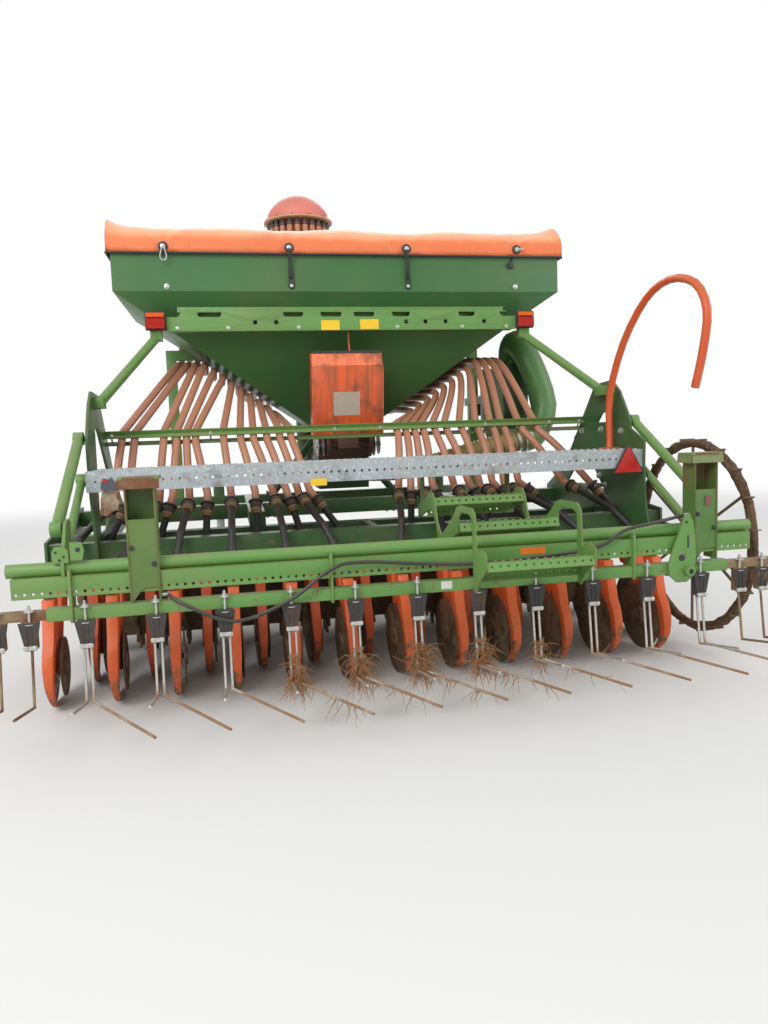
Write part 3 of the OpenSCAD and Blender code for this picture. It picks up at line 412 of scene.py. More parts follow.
# Galvanised pieces
# Board, parking legs and impeller, dipped in zinc, with its large crystals.
def zinc_dipped(name, rgb):
    """Hot-dipped zinc: pale crystals, bright specks and dull stains."""
    material, tree = begin(name)
    cells = add(tree, "TexVoronoi", {"Vector": spot_of(tree), "Scale": 140.0}).outputs
    speck = ramped(tree, cells["Color"], 0.62, 0.95)
    tone = mottled(tree, 7, 6, rgb, 0.72, 1.05)
    tone = blended(tree, times(tree, speck, 0.42), tone, colour((232, 238, 240)))
    stain = ramped(tree, grain(tree, 13, 8), 0.55, 0.72, 0, 0.7)
    tone = blended(tree, stain, tone, colour((112, 110, 104)))
    tone, _, earth = weathered(tree, tone, 0.2, 0.35, 0.3, 0.6, under=rgb)
    covered = larger(tree, stain, earth["Mask"])
    bare = times(tree, calc(tree, "SUBTRACT", 1.0, covered), 0.45)
    rough = plus(tree, times(tree, speck, -0.12), 0.52)
    height = plus(tree, times(tree, cells["Distance"], 0.05), earth["Height"])
    return surfaced(material, tone, rough, height, 0.0015, Metallic=bare)


galvanised = zinc_dipped("galvanised", (182, 190, 194))
dress(galvanised, "leg_left", "leg_right", "fan_impeller")
dress(galvanised, "loading_board", bevel=0)

# Harrow and spur wheel
# Spring tines of round wire in holders on a square bar, with a bare tube that
# slides out at each end, and a ring on thin spokes that the ground turns.
HOLDERS_MEET = 0.39


def sprung_steel(name, holder, wire):
    """Dark pressed holders above, and below them wires that are worn bright down to the soil."""
    material, tree = begin(name)
    height = axis_of(tree, spot_of(tree), "Z")
    upper = ramped(tree, height, HOLDERS_MEET - 0.004, HOLDERS_MEET + 0.004)
    foot = ramped(tree, plus(tree, height, times(tree, grain(tree, 9, 5), 0.2)), 0.26, 0.36)
    worn = blended(tree, foot, colour((140, 104, 70)), mottled(tree, 18, 5, wire, 0.75, 1.15))
    dark = mottled(tree, 8, 6, holder, 0.7, 1.3)
    dark = blended(tree, ramped(tree, grain(tree, 14, 7), 0.56, 0.68), dark, colour(RUST, 0.8))
    bright = times(tree, calc(tree, "SUBTRACT", foot, upper, True), 0.85)
    rough = calc(tree, "SUBTRACT", 0.72, times(tree, bright, 0.45))
    return surfaced(material, blended(tree, upper, worn, dark), rough, grain(tree, 120, 4), 0.002,
                    Metallic=bright)


dress(sprung_steel("tine_steel", (58, 58, 60), (196, 194, 188)), "harrow_tines")
weathered_steel = steel("weathered_steel", (150, 134, 104), mud=0.3)
dress(weathered_steel, "extension_left", "extension_right")
dress(soiled_steel, "spur_wheel")
dress(paint("duct_green", (70, 124, 64), roughness=0.4, wear=0.5, dust=0.5), "fan_duct", bevel=0)

# Seed hoses
# Brown plastic hoses run from the distributor down the front of the hopper, under
# its funnel and over the guide bar to a ribbed coupler for each row.
MID_Y = 0.186088
HOSE_R, SEAT_GAP = 19, 0.3
OUTLET_R, HEAD_X, HEAD_Y, FLANGE_Z = 195, -120, 1180, 2567
OUTLET_TURN, OUTLET_STEP, OUTLET_DROP = 82.5, 15, 125
LEFT_COUPLERS = (262, 327, 392, 460, 558, 674, 790, 879, 965, 1030, 1170, 1240)
RIGHT_COUPLERS = (164, 227, 295, 358, 480, 560, 629, 701, 767, 851, 1100, 1225)
LEFT_CROSSINGS = (357, 414, 480, 546, 611, 696, 834, 878, 926, 989, 1128, 1189)
RIGHT_CROSSINGS = (204, 252, 300, 348, 412, 478, 562, 653, 738, 800, 900, 990)
COUPLER_Y, COUPLER_Z = -470, 800
GUIDE_Y, GUIDE_Z = -290, 1120
GUIDE_RUN = Vector((0, -0.8, -0.6))
HANG_X, HANG_SPREAD, HANG_Z, FRONT_HANG_Y, REAR_HANG_Y = 390, 50, 1900, 1125, 1035
FUNNEL_Z, FUNNEL_RISE, FUNNEL_TOP_Z = 1258, 34, 1530
UNDER_FUNNEL = ((860, 15), (540, 0), (130, -30))
FRONT_ROW_Y, REAR_ROW_Y, FOOT_Z = -550, -850, 472
ROW_PITCH = 125
OVER_RAIL_Y, OVER_RAIL_Z = -740, 690
X, Y, Z = Vector((1, 0, 0)), Vector((0, 1, 0)), Vector((0, 0, 1))


def at(x, y, z):
    """A point in millimetres from the roller's axle and the floor, in the row frame."""
    return Vector((x / 1000, y / 1000 + MID_Y, z / 1000))


def blanks(count):
    """That many empty shapes, each with a list of points and a list of faces."""
    return [([], []) for _ in range(count)]


def eased(points, steps):
    """A smooth curve through the points."""
    line, last = [], len(points) - 1
    for i in range(last):
        a, b, c, d = (points[max(0, min(last, i + j))] for j in (-1, 0, 1, 2))
        for j in range(steps):
            t = j / steps
            line.append(0.5 * (2 * b + (c - a) * t + (2 * a - 5 * b + 4 * c - d) * t * t
                               + (3 * b - a - 3 * c + d) * t ** 3))
    return line + [points[last]]


def tube(shape, path, radius, sides=16, along=None):
    """Adds a round tube through the points to a shape, with one radius or one for each."""
    points, faces = shape
    first, last = len(points), len(path) - 1
    across = None
    for i, point in enumerate(path):
        ahead = along or (path[min(i + 1, last)] - path[max(i - 1, 0)]).normalized()
        across = across or ahead.orthogonal()
        across = (across - ahead * across.dot(ahead)).normalized()
        r = radius[i] if hasattr(radius, "__len__") else radius
        for k in range(sides):
            a = 2 * pi * k / sides
            points.append(point + r * (cos(a) * across + sin(a) * ahead.cross(across)))
    for i in range(last):
        for k in range(sides):
            a, b = first + i * sides + k, first + i * sides + (k + 1) % sides
            faces.append((a, b, b + sides, a + sides))
    end = first + last * sides
    faces += [tuple(range(first + sides - 1, first - 1, -1)), tuple(range(end, end + sides))]


def turned(shape, base, along, profile, sides=24):
    """Adds a turned form to a shape; its profile is (distance, radius) in millimetres."""
    along = along.normalized()
    tube(shape, [base + along * d / 1000 for d, r in profile], [r / 1000 for d, r in profile],
         sides, along)


def slab(shape, outline, origin, depth, u=X, v=Z):
    """Adds a plate to a shape: an outline in u and v, depth thick towards u x v."""
    points, faces = shape
    first, n = len(points), len(outline)
    face = [origin + (u * a + v * b) / 1000 for a, b in outline]
    points += face + [p + u.cross(v) * depth / 1000 for p in face]
    faces += [tuple(range(first + n - 1, first - 1, -1)), tuple(range(first + n, first + 2 * n))]
    faces += [(first + k, first + (k + 1) % n, first + n + (k + 1) % n, first + n + k)
              for k in range(n)]


def oblong(width, height, round_off=0):
    """A rectangle's outline about a middle, with sharp or rounded corners."""
    corners = []
    for sx, sy, start in ((1, 1, 0), (-1, 1, 90), (-1, -1, 180), (1, -1, 270)):
        for turn_by in (0, 45, 90) if round_off else (45,):
            a = radians(start + turn_by)
            corners.append((sx * (width / 2 - round_off) + round_off * cos(a),
                            sy * (height / 2 - round_off) + round_off * sin(a)))
    return corners


def solid(name, shape, material, body="drill", bevel=0.0, soft=40):
    """A piece from a shape's points and faces, which moves with a body."""
    mesh = bpy.data.meshes.new(name)
    mesh.from_pydata(shape[0], [], shape[1])
    mesh.materials.append(material)
    mesh.polygons.foreach_set("use_smooth", [True] * len(mesh.polygons))
    mesh.set_sharp_from_angle(angle=radians(soft))
    piece = place(name, mesh)
    if bevel:
        break_edges(piece, bevel)
    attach(piece, body)
    return piece


def row_of(side, k):
    """The place across of the row that a hose feeds, and if its coulter is a front one."""
    i = ROWS // 2 - k if side < 0 else ROWS // 2 + 1 + k
    return (i - 1 - (ROWS - 1) / 2) * ROW_PITCH, i % 2 == 0


def tube_line(side, k):
    """Corners of the black tube under a coupler, in millimetres."""
    x, front = row_of(side, k)
    top = Vector((-LEFT_COUPLERS[k] if side < 0 else RIGHT_COUPLERS[k], COUPLER_Y, COUPLER_Z))
    foot = Vector((x, (FRONT_ROW_Y if front else REAR_ROW_Y) - 60, FOOT_Z + 40))
    over = [] if front else [Vector(((top.x + x) / 2, OVER_RAIL_Y, OVER_RAIL_Z))]
    return [top] + over + [foot]


def hose_line(side, k):
    """The curve of one seed hose, in millimetres."""
    turn_to = OUTLET_TURN - OUTLET_STEP * (k // 2)
    front = k % 2 == 0
    a = radians((turn_to if front else -turn_to) if side > 0 else
                (180 - turn_to if front else 180 + turn_to))
    top = Vector((HEAD_X + OUTLET_R * cos(a), HEAD_Y + OUTLET_R * sin(a), FLANGE_Z - OUTLET_DROP))
    end, under = tube_line(side, k)[:2]
    down = (under - end).normalized()
    x, z = side * (HANG_X + HANG_SPREAD * k), min(FUNNEL_Z + FUNNEL_RISE * k, FUNNEL_TOP_Z)
    y = FRONT_HANG_Y if front else REAR_HANG_Y
    guide = Vector((-LEFT_CROSSINGS[k] if side < 0 else RIGHT_CROSSINGS[k], GUIDE_Y, GUIDE_Z))
    low, past = end - 50 * down, guide + 40 * GUIDE_RUN
    fall = [top - Z * (40 + 10 * (ROWS // 2 - k)), Vector((x, y, HANG_Z)),
            Vector((x, y - 10, z + 190))]
    run = [Vector((x, along, z + rise)) for along, rise in UNDER_FUNNEL]
    return ([top] + eased(fall + run + [guide - 60 * GUIDE_RUN], 6)
            + eased([past, past.lerp(low, 0.38) + Vector((0, -18, 8)), low], 6)
            + [end - SEAT_GAP * down])


SPOUT_RIBS, BOOT_FOLDS = (9, 16, 23, 30), (2, 16, 30, 44)
LIP = ((-8, 20), (-7, 25), (-3, 33), (2, 35.5), (6, 35.5), (8, 27))
NECK = ((55, 26), (55, 24), (60, 24), (63, 18))
BAND = ((40, 26), (41, 27), (52, 27), (56, 24.5), (66, 23), (68, 18))
JOINER = ((-30, 17), (-27, 23), (-22, 21), (14, 21), (19, 24), (24, 24), (27, 17))
BOOT_TOP = ((-39.5, 26), (-38, 31), (-26, 31), (-22, 25), (-8, 22), (0, 17))
hose_brown = moulded("hose_brown", (178, 120, 92), roughness=0.42, dust=0.22, mud=0.15, tint=0.14,
                     scale=9)
rubber = moulded("rubber", (38, 39, 44), roughness=0.55, dust=0.2, mud=0.3, mud_line=0.6)
hoses, rings, ribs, bands = blanks(4)
for side in (-1, 1):
    for k in range(ROWS // 2):
        tube(hoses, [at(*p) for p in hose_line(side, k)], HOSE_R / 1000, 20)
        line = [at(*p) for p in tube_line(side, k)]
        down, low = (line[1] - line[0]).normalized(), line[-1] - line[-2]
        turned(rings, line[0], down, LIP)
        turned(rings, line[0], down, NECK)
        for d in SPOUT_RIBS:
            turned(ribs, line[0], down, [(d, 26), (d + 1, 28.5), (d + 4, 28.5), (d + 5, 26)])
        turned(bands, line[0], down, BAND)
        turned(rings, line[-2].lerp(line[-1], 0.52), low, JOINER)
        for d in BOOT_FOLDS:
            fold = 28 - d / 9
            turned(rings, line[-1], Z, [(d - 8, 19), (d - 6, fold), (d + 1, fold), (d + 3, 19)])
        turned(rings, line[-1], Z, BOOT_TOP)
hose_run = solid("hose_run", hoses, hose_brown)
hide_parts("seed_hoses")
solid("coupler_rings", rings, rubber)
coupler_grey = moulded("coupler_grey", (104, 92, 80), roughness=0.6, dust=0.5, mud=0.3)
coupler_tan = moulded("coupler_tan", (176, 140, 96), roughness=0.6, mud=0.3)
solid("coupler_ribs", ribs, coupler_grey)
solid("coupler_bands", bands, coupler_tan)
dress(rubber, "seed_tubes", bevel=0)

# Hopper cover
# One sheet of coated orange fabric drawn over the bows and hooked down along its
# hem, with puckers round the eyelets, gathered corners and painted light on its top.
COVER_X, COVER_Y0, COVER_Y1 = 1227.3, -117.3, 967.3
HEM_Z, RIM_Z, COVER_RISE = 2068, 2100, 160
EYELETS = ((-947, 2094), (-307, 2096), (326, 2098), (956, 2101))
EYELET_Y = COVER_Y0 - 3
BOWS, BOW_SAG = 5, 24
PUCKER_DEPTH, PUCKER_REACH, EYELET_PULL, PULL_REACH = 9, 95, 7, 55
REAR_SIDE_Y, REAR_EYELETS_Y = 400, 500
GATHER_FROM, GATHER_HEIGHT = 1100, 34
CLOTH_THICK = 0.0016
KNOB_Y, KNOB_Z = -104, 1904
SNAP_HOOK = ((0, 2), (8, -8), (10, -26), (16, -46), (12, -64), (0, -71), (-12, -64), (-16, -46),
             (-9, -24), (-5, -6), (0, 2))


def cover_section(steps):
    """Points of the cover's cross section in y and z, from the rear hem to the front one."""
    middle, half, foot = (COVER_Y0 + COVER_Y1) / 2, (COVER_Y1 - COVER_Y0) / 2, RIM_Z + 20
    fine = [(COVER_Y0, HEM_Z), (COVER_Y0, (HEM_Z + foot) / 2)]
    fine += [(middle - half * cos(radians(a)), foot + COVER_RISE * sin(radians(a)))
             for a in range(0, 181, 3)]
    fine += [(COVER_Y1, (HEM_Z + foot) / 2), (COVER_Y1, HEM_Z)]
    run = [0.0]
    for (ya, za), (yb, zb) in zip(fine, fine[1:]):
        run.append(run[-1] + hypot(yb - ya, zb - za))
    line = []
    for i in range(steps + 1):
        want = run[-1] * i / steps
        k = max(j for j in range(len(fine) - 1) if run[j] <= want + 1e-9)
        t = (want - run[k]) / (run[k + 1] - run[k])
        line.append(tuple(a + (b - a) * t for a, b in zip(fine[k], fine[k + 1])))
    return line, run[-1]


def puckered(x, y, z, share):
    """A point of the cover once the fabric sags between bows, creases and hangs on its hooks."""
    high = sin(pi * share)
    span = (x + COVER_X) / (2 * COVER_X) * (BOWS - 1)
    drop = BOW_SAG * high ** 1.5 * sin(pi * (span % 1)) ** 2
    out = 7 * noise.fractal(Vector((x / 420, share * 3.1, 2.7)), 1.0, 2.1, 4)
    out += 3.5 * sin(x / 31 + 5 * noise.noise(Vector((x / 300, share * 4, 9)))) * (
        max(0.0, 1 - abs(share - 0.14) / 0.12)
        * (0.4 + 0.6 * noise.noise(Vector((x / 500, 1, 5))) ** 2))
    for ex, ez in EYELETS:
        if y < REAR_EYELETS_Y:
            far = hypot(x - ex, (z - ez) * 0.8)
            angle = atan2(z - ez, x - ex)
            folds = cos(7 * angle + far / 60) * min(1, far / 40)
            out += PUCKER_DEPTH * exp(-far / PUCKER_REACH) * folds
            out -= EYELET_PULL * exp(-far / PULL_REACH)
    edge = max(0.0, (abs(x) - GATHER_FROM) / (COVER_X - GATHER_FROM))
    ear = GATHER_HEIGHT * edge ** 2 * (exp(-((share - 0.17) / 0.07) ** 2)
                                       + 0.6 * exp(-((share - 0.85) / 0.07) ** 2))
    ear += 12 * edge * high * noise.noise(Vector((x / 60, share * 14, 3)))
    lean = -1 if y < REAR_SIDE_Y else 1
    return at(x, y + lean * out * (1 - high * 0.8), z - drop + ear + out * high * 0.7)


def cover_sheet(columns=150, steps=54, drop=12):
    """The cover's mesh, whose ends fall to the hem, its length over the arch and its area."""
    line, length = cover_section(steps)
    bm = bmesh.new()
    grid = []
    for i in range(-drop, columns + drop + 1):
        x = -COVER_X + 2 * COVER_X * min(max(i, 0), columns) / columns
        fall = max(-i, i - columns, 0) / drop
        row = []
        for j, (y, z) in enumerate(line):
            top = puckered(x, y, z, j / steps)
            slack = sin(pi * fall) * sin(pi * j / steps)
            inward = 0.010 * slack * noise.noise(Vector((j / 4, fall * 2, x)))
            bulge = copysign(0.002 * slack, x) - copysign(1, x) * abs(inward)
            row.append(bm.verts.new((top.x + bulge, top.y, top.z - (top.z - HEM_Z / 1000) * fall)))
        grid.append(row)
    for a, b in zip(grid, grid[1:]):
        for j in range(steps):
            bm.faces.new((a[j], b[j], b[j + 1], a[j + 1]))
    bmesh.ops.remove_doubles(bm, verts=bm.verts, dist=0.0002)
    bmesh.ops.recalc_face_normals(bm, faces=bm.faces)
    flat = sum(f.calc_area() for f in bm.faces)
    mesh = bpy.data.meshes.new("hopper_cover")
    bm.to_mesh(mesh)
    bm.free()
    return mesh, length / 1000, flat


def stretched(tree, scale, detail=4.0):
    """Noise with its own scale for each axis, such as dirt that runs down."""
    drawn = add(tree, "Mapping", {0: spot_of(tree), "Scale": scale})
    return grain(tree, 1, detail, drawn.outputs[0])


def coated_fabric(name, rgb, painted_lit_tone):
    """Fabric under a plastic coat: woven, creased, grubby, with painted light where it faces up."""
    material, tree = begin(name)
    # Painted light: faces turned up are mixed towards a paler orange, as if lit from above.
    facing = axis_of(tree, add(tree, "NewGeometry").outputs["Normal"], "Z")
    painted_top_light = plus(tree, facing, times(tree, grain(tree, 5, 6), 0.7))
    tone = blended(tree, ramped(tree, painted_top_light, 0.55, 1.35), colour(rgb), colour(painted_lit_tone))
    worn = ramped(tree, grain(tree, 2.2, 7), 0.50, 0.85, 0, 0.55)
    tone = blended(tree, worn, tone, colour((196, 104, 62)))
    grime = ramped(tree, stretched(tree, (38, 38, 3), 5), 0.58, 0.80, 0, 0.35)
    tone = blended(tree, grime, tone, colour((120, 92, 70)))
    weave = [add(tree, "TexWave", {"Vector": spot_of(tree), "Scale": 150.0, "Distortion": 0.4},
                 bands_direction=d).outputs["Fac"] for d in ("X", "Z")]
    creases = times(tree, grain(tree, 14, 4), 0.9)
    height = plus(tree, times(tree, times(tree, *weave), 0.05), creases)
    rough = plus(tree, times(tree, grain(tree, 25), 0.2), 0.36)
    return surfaced(material, tone, rough, height, 0.006, **{"Sheen Weight": 0.15})


cover_mesh, cover_length, cover_area = cover_sheet()
cover_mesh.polygons.foreach_set("use_smooth", [True] * len(cover_mesh.polygons))
cover_mesh.materials.append(coated_fabric("cover_orange", (232, 120, 68), (246, 178, 130)))
cover = place("hopper_cover", cover_mesh)
thick = cover.modifiers.new("thickness", "SOLIDIFY")
thick.thickness, thick.offset = CLOTH_THICK, 0
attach(cover, "drill")
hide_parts("tarp")

edging, grommets, cores, hooks, cords, knobs = blanks(6)
for hem_y in (COVER_Y0 - 2, COVER_Y1 + 2):
    tube(edging, [at(x, hem_y, HEM_Z - 4) for x in range(-1226, 1227, 43)], 0.006, 10)
for hem_x in (-COVER_X - 2, COVER_X + 2):
    tube(edging, [at(hem_x, y, HEM_Z - 4) for y in range(-112, 965, 56)], 0.006, 10)
for x, z in EYELETS:
    for low, r in ((0, 25), (3, 19)):
        turned(grommets, at(x, EYELET_Y, z), -Y,
               [(low, r - 3), (low + 2, r), (low + 6, r), (low + 8, r - 4)])
    turned(cores, at(x, EYELET_Y, z), -Y, [(8, 12), (12, 12), (13, 9)])
for (x, z), aside in zip(EYELETS[1:3], (7, 9)):
    knob, loop = at(x + aside, KNOB_Y, KNOB_Z), at(x, EYELET_Y - 12, z - 34)
    for dx in (-5, 5):
        tube(cords, [at(x + dx * 0.6, EYELET_Y - 14, z - 6), at(x + dx, EYELET_Y - 12, z - 40)]
             + [at(x, EYELET_Y - 8, z).lerp(knob, t) + X * dx / 1000 * (1 + t * t * 1.6)
                for t in (0.45, 0.7, 0.85)] + [knob + Vector((dx * 0.0021, -0.004, 0.002))],
             0.0042, 8)
    turned(knobs, knob + Y * 0.006, -Y, [(0, 11), (5, 11), (6, 9), (10, 9), (12, 6)])
    turned(cords, knob + Y * 0.004, -Y, [(1, 15), (3, 18), (5, 18), (7, 15)])
    turned(cords, loop.lerp(knob, 0.66), knob - loop, [(-16, 6), (-14, 9), (12, 9), (16, 6)], 12)
for x, z in ((-940, 1899), (953, 1903)):
    turned(knobs, at(x, -100, z), -Y, [(0, 14), (4, 14), (5, 10), (10, 10), (12, 7)])
x, z = EYELETS[0]
tube(hooks, eased([at(x + dx, COVER_Y0 - 16, z + dz) for dx, dz in SNAP_HOOK], 3), 0.0034, 8)
x, z = EYELETS[3]
tube(hooks, [at(x - 6, COVER_Y0 - 15, z), at(x + 22, COVER_Y0 - 17, z - 1),
             at(x + 38, COVER_Y0 - 14, z + 3)], 0.005, 8)
tube(cords, [at(938, -101, 2060), at(936, -106, 2044), at(930, -108, 2032)], 0.006, 8)
turned(cords, at(926, -100, 2018), -Y, [(0, 17), (9, 19), (15, 17), (17, 12)])
zinc = steel("zinc_fitting", (196, 196, 190), roughness=0.36, rust=0.12, mud=0.1, dust=0.15)
cover_extras = [solid("cover_edge", edging, rubber), solid("cover_eyelets", grommets, rubber),
                solid("cover_cores", cores, zinc), solid("cover_hooks", hooks, zinc),
                solid("cover_ties", cords, rubber)]
solid("tie_buttons", knobs, zinc)

# Distributor
# A plastic dome, bleached by the sun, clamped to a wide tan flange. The hoses
# are pushed on short spouts all round under the flange and held by clips.
DOME_EDGE_R, DOME_ROUND, DOME_SUNK, DOME_FOOT = 205, 230, 60, 8
DOME_HEIGHTS = (8, 24, 40, 56, 72, 88, 104, 118, 132, 144, 154, 162, 167, 169.5)
CLAMPS, CLAMP_CIRCLE = 12, 0.219
head = at(HEAD_X, HEAD_Y, FLANGE_Z)
dome, flange, spouts, clips, sleeves, core = blanks(6)
turned(dome, head, Z, [(DOME_FOOT, 208), (14, 208)] + [
    (DOME_FOOT + h, min(DOME_EDGE_R, sqrt(DOME_ROUND ** 2 - (DOME_SUNK + h) ** 2)))
    for h in DOME_HEIGHTS], 64)
turned(flange, head, Z, [(-14, 160), (-10, 206), (-8, 229), (-4, 233.4), (4, 233.4), (9, 226),
                         (10, 209), (14, 205)], 64)
turned(core, head, Z, [(-120, 110), (-118, 150), (-92, 150), (-86, 96), (-30, 118), (-12, 165)], 48)
for side in (-1, 1):
    for k in range(ROWS // 2):
        top = at(*hose_line(side, k)[0])
        turned(sleeves, top - Z * 0.001, Z, [(0, HOSE_R), (84, HOSE_R), (85, 16)], 20)
        turned(spouts, top, Z, [(80, 16), (114, 16.5)], 16)
        turned(clips, top, Z, [(70, 19), (71, 21), (80, 21), (81, 19)], 20)
for k in range(CLAMPS):
    a = 2 * pi * (k + 0.5) / CLAMPS
    rim = head + Vector((cos(a), sin(a), 0)) * CLAMP_CIRCLE
    turned(clips, rim + Z * 0.008, Z, [(0, 9), (2, 9), (2.1, 6), (7, 6), (8, 4)], 12)
pink = moulded("bleached_pink", (224, 128, 116), dust=0.55, mud=0, tint=0.1, scale=3)
dome_piece = solid("distributor_dome", dome, pink)
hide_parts("distributor_head")
solid("distributor_flange", flange, moulded("tan_plastic", (196, 158, 122), mud=0, tint=0.1))
solid("distributor_spouts", spouts, rubber)
solid("distributor_core", core, pink)
solid("distributor_clips", clips, rubber)
solid("hose_tops", sleeves, hose_brown)

# Tail lamps
# Ribbed lenses, amber above red, in a rubber frame screwed to the ends of the
# rear rail. Blank yellow labels and a row of screws sit between them.
RAIL_FACE_Y, LABEL_THICK = -92.2, 0.5
LABELS = ((-100, RAIL_FACE_Y, 1700, 100, 52), (114, RAIL_FACE_Y, 1704, 102, 52),
          (-297, -936, 906, 72, 32))
LAMP_X, LAMP_Z = 1007.5, 1725
RIB, LENS_WIDE = 6, 90
frames, red_lens, amber_lens, labels, screws = blanks(5)
for middle in (-LAMP_X, LAMP_X):
    slab(frames, oblong(106, 97, 7), at(middle, RAIL_FACE_Y - 0.2, LAMP_Z), 9)
    slab(frames, oblong(92, 84, 7), at(middle, -101, LAMP_Z), 12)
    for lens, low, ribs_up in ((red_lens, 1682.5, 9), (amber_lens, 1740.5, 4)):
        outline = [(ribs_up * RIB, 0)]
        for n in reversed(range(ribs_up)):
            outline += [(n * RIB + 5, 24), (n * RIB + 3, 27), (n * RIB + 1, 24)]
        slab(lens, outline + [(0, 0)], at(middle - LENS_WIDE / 2, -103, low), LENS_WIDE, Z, -Y)
    for dx in (-36, 36):
        turned(frames, at(middle + dx, -126, 1738), -Y, [(0, 4), (5, 4)], 10)
LENS = dict(dust=0.25, mud=0, tint=0.1, scale=12)
lens_red = moulded("lens_red", (190, 30, 24), roughness=0.18, **LENS)
lens_amber = moulded("lens_amber", (238, 108, 22), roughness=0.2, **LENS)
lamp_lenses = solid("lamp_red", red_lens, lens_red, soft=20)
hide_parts("tail_lamps")
solid("lamp_amber", amber_lens, lens_amber, soft=20)
solid("lamp_frames", frames, rubber, bevel=0.002)


def bolt(shape, point, along, across=19):
    """Adds a washer and a hexagon head to a shape, seated on a face."""
    turned(shape, point, along, [(0, across * 0.78), (2, across * 0.78), (2.5, across * 0.7)], 20)
    turned(shape, point, along, [(2, across * 0.56), (across * 0.55, across * 0.56),
                                 (across * 0.65, across * 0.46)], 6)


def sticker(shape, spot, wide, high, corner=2, up_face=Z):
    """Adds a blank label to a shape, with its middle at a spot on a face."""
    slab(shape, oblong(wide, high, corner), spot, LABEL_THICK, v=up_face)


for x, y, z, wide, high in LABELS:
    sticker(labels, at(x, y, z), wide, high)
for x in (-900, -640, -270, 270, 640, 900):
    bolt(screws, at(x, RAIL_FACE_Y, 1688), -Y, 13)
label_yellow = moulded("label_yellow", (240, 196, 40), roughness=0.35, dust=0.2, mud=0.1, tint=0.06)
solid("blank_labels", labels, label_yellow)
solid("rail_screws", screws, zinc)


# Calibration tray and metering drive
# Orange sheet metal streaked with rust and wet dirt, with a blank label, over a
# faded flap between the toothed wheels that turn the metering roller.
def streaked(name, rgb, dirty):
    """Painted sheet with dirt that has run down it."""
    material, tree = begin(name)
    runs = ramped(tree, stretched(tree, (42, 8, 2.2), 6), 0.40, 0.74)
    tone = mottled(tree, 6, 5, rgb, 0.8, 1.1)
    patches = ramped(tree, grain(tree, 7, 7), 0.46, 0.66, 0, 0.75)
    tone = blended(tree, times(tree, runs, 0.8), tone, colour(dirty))
    tone = blended(tree, patches, tone, colour((92, 62, 40)))
    chips = use(tree, chipped, {"Amount": 0.55})["Mask"]
    tone = blended(tree, chips, tone, colour((52, 36, 28)))
    rough = plus(tree, times(tree, patches, 0.4), 0.36)
    height = times(tree, plus(tree, runs, grain(tree, 90, 3)), 0.2)
    return surfaced(material, tone, rough, height, 0.003)


SHAFT_Y, SHAFT_Z = 260, 1050
GEARS = ((-160, 62, 30), (-128, 66, 32), (176, 70, 34), (206, 62, 28))
TRAY_SLOPE, LIP_SLOPE = Vector((0, -68, 366)).normalized(), Vector((0, 33, 75)).normalized()
dress(streaked("tray_orange", (222, 92, 38), (120, 70, 42)), "calibration_tray")
lip_dark, lip_pale, tray_label, wheels, flap = blanks(5)
sticker(tray_label, at(-27, -91.2, 1278), 146, 128, 3, TRAY_SLOPE)
slab(lip_pale, oblong(380, 74, 2), at(-20, -112.4, 1513.5), 0.8, v=LIP_SLOPE)
slab(lip_dark, [(-212, 0), (172, 0), (172, 14), (-212, 14)], at(0, -95, 1549), 3)
for x in (-214.5, 174.5):
    slab(lip_pale, [(-3, -186), (3, -186), (3, 184), (-3, 184)], at(x, -95.5, 1293), 1.2,
         v=TRAY_SLOPE)
for x, r, teeth in GEARS:
    gear = []
    for n in range(teeth * 4):
        a, reach = 2 * pi * n / (teeth * 4), r if n % 4 < 2 else r - 6
        gear.append((reach * cos(a), reach * sin(a)))
    slab(wheels, gear, at(x, SHAFT_Y, SHAFT_Z), 5, Y)
    turned(wheels, at(x - 9, SHAFT_Y, SHAFT_Z), X, [(0, 16), (24, 16), (25, 12)])
    for a in (2 * pi * n / 5 for n in range(5)):
        bolt(wheels, at(x, SHAFT_Y, SHAFT_Z) + (Y * cos(a) + Z * sin(a)) * 0.04, -X, 8)
tube(wheels, [at(-190, 252, 1098), at(-120, 250, 1096), at(-60, 248, 1104), at(140, 248, 1102),
              at(205, 252, 1090)], 0.004, 8)
slab(flap, oblong(122, 86, 4), at(25, 249.6, 1078), 4)
slab(flap, oblong(128, 8, 2), at(25, 249.4, 1034), 9)
solid("tray_label", tray_label,
      moulded("label_paper", (178, 164, 150), roughness=0.7, mud=0.2, tint=0.16, scale=30))
solid("tray_lip", lip_pale, streaked("lip_orange", (246, 132, 88), (206, 96, 62)))
solid("tray_edge", lip_dark, rubber, bevel=0.001)
solid("metering_wheels", wheels, zinc, bevel=0.0006)
solid("metering_flap", flap, moulded("flap_pink", (158, 122, 116), dust=0.5, mud=0.2), bevel=0.0012)

# Guide bars
# Two flat bars, bolted together, that hold the seed hoses in one row.
GUIDE_OUT = Vector((0, 0.6, -0.8))
GUIDE_WIDTH, LIP_OUT = 2 * 1262, GUIDE_OUT * 0.0255
bars, bar_bolts = blanks(2)
guide = at(0, GUIDE_Y, GUIDE_Z)
for away, wide in ((-20.5, 34), (25.5, 30)):
    slab(bars, oblong(GUIDE_WIDTH, wide), guide + GUIDE_OUT * away / 1000, 5, v=-GUIDE_RUN)
slab(bars, oblong(GUIDE_WIDTH, 5), guide - LIP_OUT - GUIDE_RUN * 0.0145, 18, v=-GUIDE_RUN)
for x in (-1235, -760, -130, 110, 690, 1060, 1235):
    spot = at(x, GUIDE_Y, GUIDE_Z)
    bolt(bar_bolts, spot - LIP_OUT, -GUIDE_OUT, 14)
    tube(bar_bolts, [spot + GUIDE_OUT * d / 1000 for d in (-26, 32)], 0.004, 8)
guide_bars = solid("guide_bars", bars, light_green, bevel=0.001)
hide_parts("hose_rails")
solid("guide_bolts", bar_bolts, zinc)

